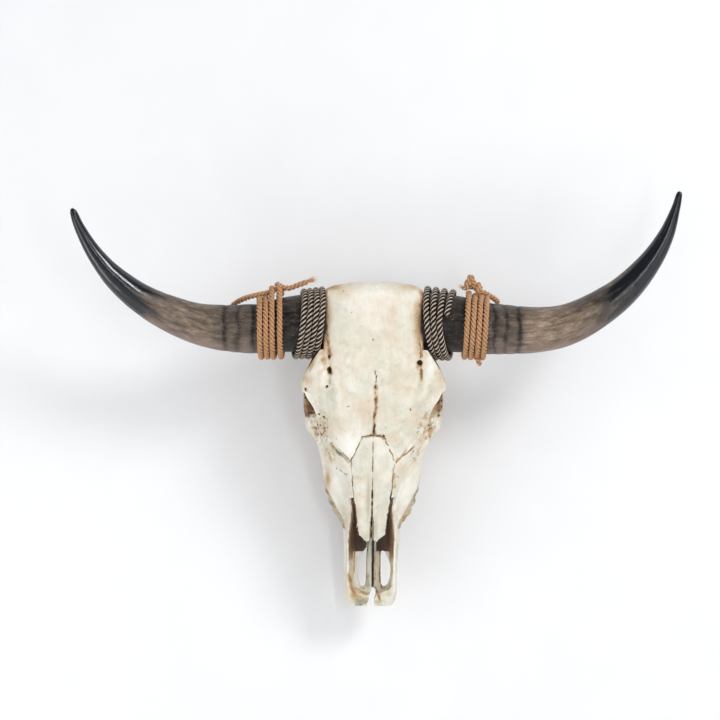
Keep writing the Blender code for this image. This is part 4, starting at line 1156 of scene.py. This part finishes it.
def jute(where, tail, lifts, loops, stubs, end, tuft_of):
    parts = [rope(lifted(where, lifts), CORD_RADIUS, JUTE_TWIST, 11),
             rope(spline(tail, 12), CORD_RADIUS * TAIL_THIN, JUTE_TWIST, 12)]
    for path in [loop_round(*loop) for loop in loops] + stubs:
        parts.append(rope(path, CORD_RADIUS * KNOT_THIN, JUTE_TWIST, 13))
    return corded(parts, fuzz(parts, JUTE_FUZZ) + tuft(*end, *tuft_of))


def horns_and_cords():
    for word, (keys, rings, fades, seed, band) in HORNS.items():
        placed(horn(keys, rings, fades, seed), f"horn_{word}", "horn")
        placed(striped_band(band), f"cord_band_{word}", "striped")
    for word, winding_of in JUTES.items():
        placed(jute(*winding_of), f"jute_wrap_{word}", "jute")


# Materials

def join(socket, value):
    """Links a node's input to another node's output, or sets it."""
    if isinstance(value, bpy.types.NodeSocket):
        socket.id_data.links.new(value, socket)
    else:
        socket.default_value = value


def feed(node, **inputs):
    for key, value in inputs.items():
        join(node.inputs[key.replace("_", " ")], value)
    return node


def add(tree, kind, settings=None, **inputs):
    """A shader node with its settings, and its inputs linked or set."""
    node = tree.nodes.new("ShaderNode" + kind)
    for key, value in (settings or {}).items():
        setattr(node, key, value)
    return feed(node, **inputs)


def ramp(fac, *stops):
    node = add(fac.id_data, "ValToRGB", Fac=fac)
    elements = node.color_ramp.elements
    while len(elements) < len(stops):
        elements.new(0.5)
    for element, (place, colour) in zip(elements, stops):
        element.position = place
        element.color = (*colour, 1)
    return node.outputs["Color"]


def fade(fac, start, end, low=0, high=1):
    return ramp(fac, (start, (low,) * 3), (end, (high,) * 3))


def noise_of(vector, scale, detail, rough=0.55, warp=0.0):
    """Noise at a scale, or stretched by a scale for each axis."""
    if isinstance(scale, tuple):
        vector, scale = add(vector.id_data, "Mapping", Vector=vector, Scale=scale).outputs[0], 1.0
    settings = {"Vector": vector, "Scale": scale, "Detail": detail, "Roughness": rough, "Distortion": warp}
    return add(vector.id_data, "TexNoise", **settings).outputs["Fac"]


def maths(operation, *values):
    """Sockets and numbers together, with the result kept from 0 to 1."""
    tree = next(v.id_data for v in values if isinstance(v, bpy.types.NodeSocket))
    node = add(tree, "Math", {"operation": operation, "use_clamp": True})
    for socket, value in zip(node.inputs, values):
        join(socket, value)
    return node.outputs[0]


def times(a, b):
    return maths("MULTIPLY", a, b)


def plus(a, b):
    return maths("ADD", a, b)


def coats(colour, *layers):
    """A colour under layers, each with how much of it shows."""
    for amount, coat in layers:
        coat = (*coat, 1) if isinstance(coat, tuple) else coat
        colour = add(colour.id_data, "MixRGB", Fac=amount, Color1=colour, Color2=coat).outputs["Color"]
    return colour


def new_material(name):
    made = bpy.data.materials.new(name)
    made.use_nodes = True
    return made.node_tree, made.node_tree.nodes["Principled BSDF"]


def stored(tree, name, output):
    return add(tree, "Attribute", {"attribute_name": name}).outputs[output]


def four_of(tree, name):
    """The four values of a stored colour."""
    colour = stored(tree, name, "Color")
    parts = add(tree, "SeparateColor", Color=colour).outputs
    return parts["Red"], parts["Green"], parts["Blue"], colour.node.outputs["Alpha"]


def bump(height, distance, strength=1.0):
    return add(height.id_data, "Bump", Height=height, Strength=strength, Distance=distance).outputs["Normal"]


def bone_material():
    tree, shader = new_material("bone")
    at = add(tree, "TexCoord").outputs["Object"]
    dirt_and_shade, rust, moss, pale = four_of(tree, "stain_and_shading")
    broad, mottle, speck = noise_of(at, 22, 3), noise_of(at, 85, 6, 0.65, 0.4), noise_of(at, 520, 3, 0.7)
    grain, smears = noise_of(at, (260, 260, 45), 4, 0.7), noise_of(at, (90, 90, 22), 5, 0.6)
    spots = fade(plus(speck, times(rust, 0.3)), 0.645, 0.76)
    uneven = plus(times(mottle, 0.9), 0.55)
    tint = ramp(broad, (0.36, (0.56, 0.58, 0.48)), (0.5, (0.74, 0.71, 0.62)), (0.64, (0.71, 0.62, 0.50)))
    mossy = ramp(times(moss, uneven),
                 (0.0, (0.60, 0.59, 0.47)), (0.45, (0.38, 0.36, 0.25)), (1.0, (0.14, 0.12, 0.06)))
    rusty = ramp(times(rust, uneven), (0.05, (0.70, 0.59, 0.43)), (0.35, (0.53, 0.37, 0.21)),
                 (0.62, (0.30, 0.155, 0.07)), (0.95, (0.09, 0.04, 0.018)))
    # The pale coat also paints highlights, and the last, near-black coat also paints shade in holes, hollows and the
    # temples.
    colour = coats(
        ramp(mottle, (0.30, (0.40, 0.36, 0.27)), (0.44, (0.63, 0.59, 0.485)), (0.60, (0.755, 0.73, 0.645))),
        (0.45, tint),
        (fade(smears, 0.50, 0.66, 0, 0.45), (0.62, 0.50, 0.36)),
        (fade(smears, 0.34, 0.48, 0.5, 0), (0.60, 0.60, 0.48)),
        (times(pale, 0.75), (0.92, 0.90, 0.84)),
        (times(fade(grain, 0.62, 0.74), 0.3), (0.50, 0.38, 0.25)),
        (fade(moss, 0.02, 0.5, 0, 0.95), mossy),
        (fade(rust, 0.02, 0.4, 0, 0.95), rusty),
        (times(spots, 0.5), (0.30, 0.18, 0.10)),
        (fade(dirt_and_shade, 0.1, 0.7), (0.030, 0.016, 0.009)),
    )
    height = plus(plus(times(speck, 0.35), times(mottle, 0.4)), times(grain, 0.25))
    height = maths("SUBTRACT", height, times(spots, 0.2))
    feed(shader, Base_Color=colour, Roughness=fade(mottle, 0.3, 0.7, 0.62, 0.40), Specular_IOR_Level=0.4,
         Normal=bump(height, 0.0014, 0.9))


def horn_material():
    tree, shader = new_material("horn")
    straight = stored(tree, "straight", "Vector")
    dark, beige, black, pink = four_of(tree, "tone")
    streaks, scratches, mottle, speck = (
        noise_of(straight, (along, across, across), detail, rough) for along, across, detail, rough in (
            (0.02, 0.35, 5, 0.6), (0.05, 1.6, 3, 0.6), (0.06, 0.16, 6, 0.7), (0.5, 0.9, 3, 0.7)))
    light = ramp(mottle, (0.32, (0.13, 0.085, 0.054)), (0.5, (0.26, 0.18, 0.12)), (0.66, (0.40, 0.30, 0.22)))
    charred = ramp(mottle, (0.35, (0.005, 0.004, 0.003)), (0.52, (0.013, 0.010, 0.008)), (0.7, (0.045, 0.036, 0.03)))
    fine = times(fade(scratches, 0.60, 0.72, 0, 0.6), fade(streaks, 0.45, 0.6))
    fine = times(fine, fade(dark, 0.2, 0.6, 1, 0.1))
    colour = coats(
        ramp(mottle, (0.32, (0.034, 0.024, 0.017)), (0.5, (0.070, 0.049, 0.034)), (0.68, (0.14, 0.10, 0.07))),
        (beige, light),
        (fade(streaks, 0.48, 0.66, 0, 0.75), (0.045, 0.031, 0.021)),
        (times(pink, 0.45), (0.26, 0.18, 0.15)),
        (dark, charred),
        (times(fade(speck, 0.52, 0.75), fade(mottle, 0.42, 0.6, 0.05, 0.45)), (0.36, 0.29, 0.23)),
        (black, (0.002, 0.004, 0.008)),
        (times(fine, fade(black, 0.6, 1.0, 1, 0.12)), (0.52, 0.45, 0.36)),
    )
    shine = maths("SUBTRACT", fade(black, 0.0, 1.0, 0.5, 0.62), times(dark, 0.3))
    height = plus(times(streaks, 0.5), times(speck, 0.25))
    feed(shader, Base_Color=colour, Roughness=fade(black, 0.0, 1.0, 0.45, 0.2), Specular_IOR_Level=shine,
         Normal=bump(height, 0.0005, 0.5))


def cord_material(name, crest, crest_dark, hollow, creases, roughness):
    tree, shader = new_material(name)
    straight = stored(tree, "straight", "Vector")
    # The creases between the strands are painted darker: painted shade on both cords, and on the striped band also
    # its dark paint.
    crease = fade(stored(tree, "crease", "Fac"), *creases)
    fibres = noise_of(straight, (0.35, 1.6, 1.6), 4, 0.7)
    patch = fade(noise_of(straight, 0.22, 3, 0.6), 0.42, 0.7, 0, 0.6)
    colour = coats(ramp(fibres, (0.35, crest_dark), (0.62, crest)), (patch, crest_dark), (crease, hollow))
    feed(shader, Base_Color=colour, Roughness=roughness, Normal=bump(fibres, 0.0012))


def plain_material(name, colour, roughness):
    tree, shader = new_material(name)
    at = add(tree, "TexCoord").outputs["Object"]
    shade = tuple(0.985 * c for c in colour)
    feed(shader, Base_Color=ramp(noise_of(at, 9, 4), (0.4, shade), (0.6, colour)), Roughness=roughness)
    return shader


def pad_material():
    tree, shader = new_material("pad")
    at = add(tree, "TexCoord").outputs["Object"]
    colour = ramp(noise_of(at, 90, 5, 0.6), (0.35, (0.50, 0.43, 0.32)), (0.65, (0.76, 0.70, 0.58)))
    feed(shader, Base_Color=colour, Roughness=0.6, Normal=bump(noise_of(at, 500, 3), 0.0004))


def materials():
    bpy.data.materials.new("cut")
    bone_material()
    horn_material()
    # Each cord's third colour is the painted shade in its creases, with the striped band's dark paint there too; the
    # pair of numbers gives the crease depths where it begins and where it is full.
    cord_material("jute", (0.72, 0.42, 0.22), (0.44, 0.22, 0.10), (0.14, 0.06, 0.025), (0.2, 0.55), 0.95)
    cord_material("striped", (0.90, 0.80, 0.67), (0.50, 0.32, 0.20), (0.006, 0.005, 0.004), (0.012, 0.11), 0.5)
    pad_material()


# The stage, the light and the camera

def sheet_of(name, corners, look):
    bm = bmesh.new()
    bm.faces.new([bm.verts.new(c) for c in corners])
    obj = dressed(piece_of(name, bm), look)
    return obj


def see_through_from_behind(shader):
    """Lets the wall be seen through from its back, where it would hide the skull."""
    tree = shader.id_data
    light = add(tree, "LightPath").outputs
    close = maths("LESS_THAN", light["Ray Length"], 5 * MM)
    either = maths("MAXIMUM", add(tree, "NewGeometry").outputs["Backfacing"], light["Is Shadow Ray"])
    both = add(tree, "MixShader", Fac=maths("MAXIMUM", either, close))
    join(both.inputs[1], shader.outputs[0])
    join(both.inputs[2], add(tree, "BsdfTransparent").outputs[0])
    feed(tree.nodes["Material Output"], Surface=both.outputs[0])


def stage():
    plain_material("floor", (0.86, 0.86, 0.85), 0.7)
    see_through_from_behind(plain_material("wall", (0.795, 0.795, 0.795), 0.9))
    across = (-FLOOR_HALF, FLOOR_HALF, FLOOR_HALF, -FLOOR_HALF)
    depths = (FLOOR_FRONT, FLOOR_FRONT, FLOOR_HALF, FLOOR_HALF)
    sheet_of("floor", [(x, y, FLOOR_Z) for x, y in zip(across, depths)], "floor")
    heights = (FLOOR_Z, FLOOR_Z, WALL_TOP, WALL_TOP)
    wall = sheet_of("backdrop", [(x, WALL_Y, z) for x, z in zip(across, heights)], "wall")
    if wall.data.polygons[0].normal.y > 0:
        wall.data.flip_normals()


def lights():
    world = bpy.data.worlds.new("studio")
    world.use_nodes = True
    # The room that shines in glossy surfaces is darker than the light it gives.
    glossy = add(world.node_tree, "LightPath").outputs["Is Glossy Ray"]
    strength = maths("SUBTRACT", SKY_LIGHT, times(glossy, SKY_UNMIRRORED))
    feed(world.node_tree.nodes["Background"], Color=SKY, Strength=strength)
    bpy.context.scene.world = world
    for name, (place, target, size, power, colour) in LIGHTS.items():
        data = bpy.data.lights.new(name, "AREA")
        data.shape = "RECTANGLE"
        data.size, data.size_y = size
        data.energy = power
        data.color = colour
        obj = in_scene(bpy.data.objects.new(name, data))
        obj.location = place
        obj.rotation_euler = (Vector(target) - Vector(place)).to_track_quat("-Z", "Y").to_euler()
        obj.visible_camera = False


def camera():
    data = bpy.data.cameras.new("camera")
    data.sensor_width = SENSOR
    data.lens = LENS
    obj = in_scene(bpy.data.objects.new("camera", data))
    obj.location = CAMERA_PLACE
    obj.rotation_euler = (math.radians(90), 0, 0)
    bpy.context.scene.camera = obj


def main():
    bpy.context.scene.view_settings.view_transform = "Standard"
    camera()
    materials()
    skull()
    horns_and_cords()
    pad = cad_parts["wall_pad"]
    pad.data.materials.clear()
    pad.data.materials.append(bpy.data.materials["pad"])
    stage()
    lights()


main()
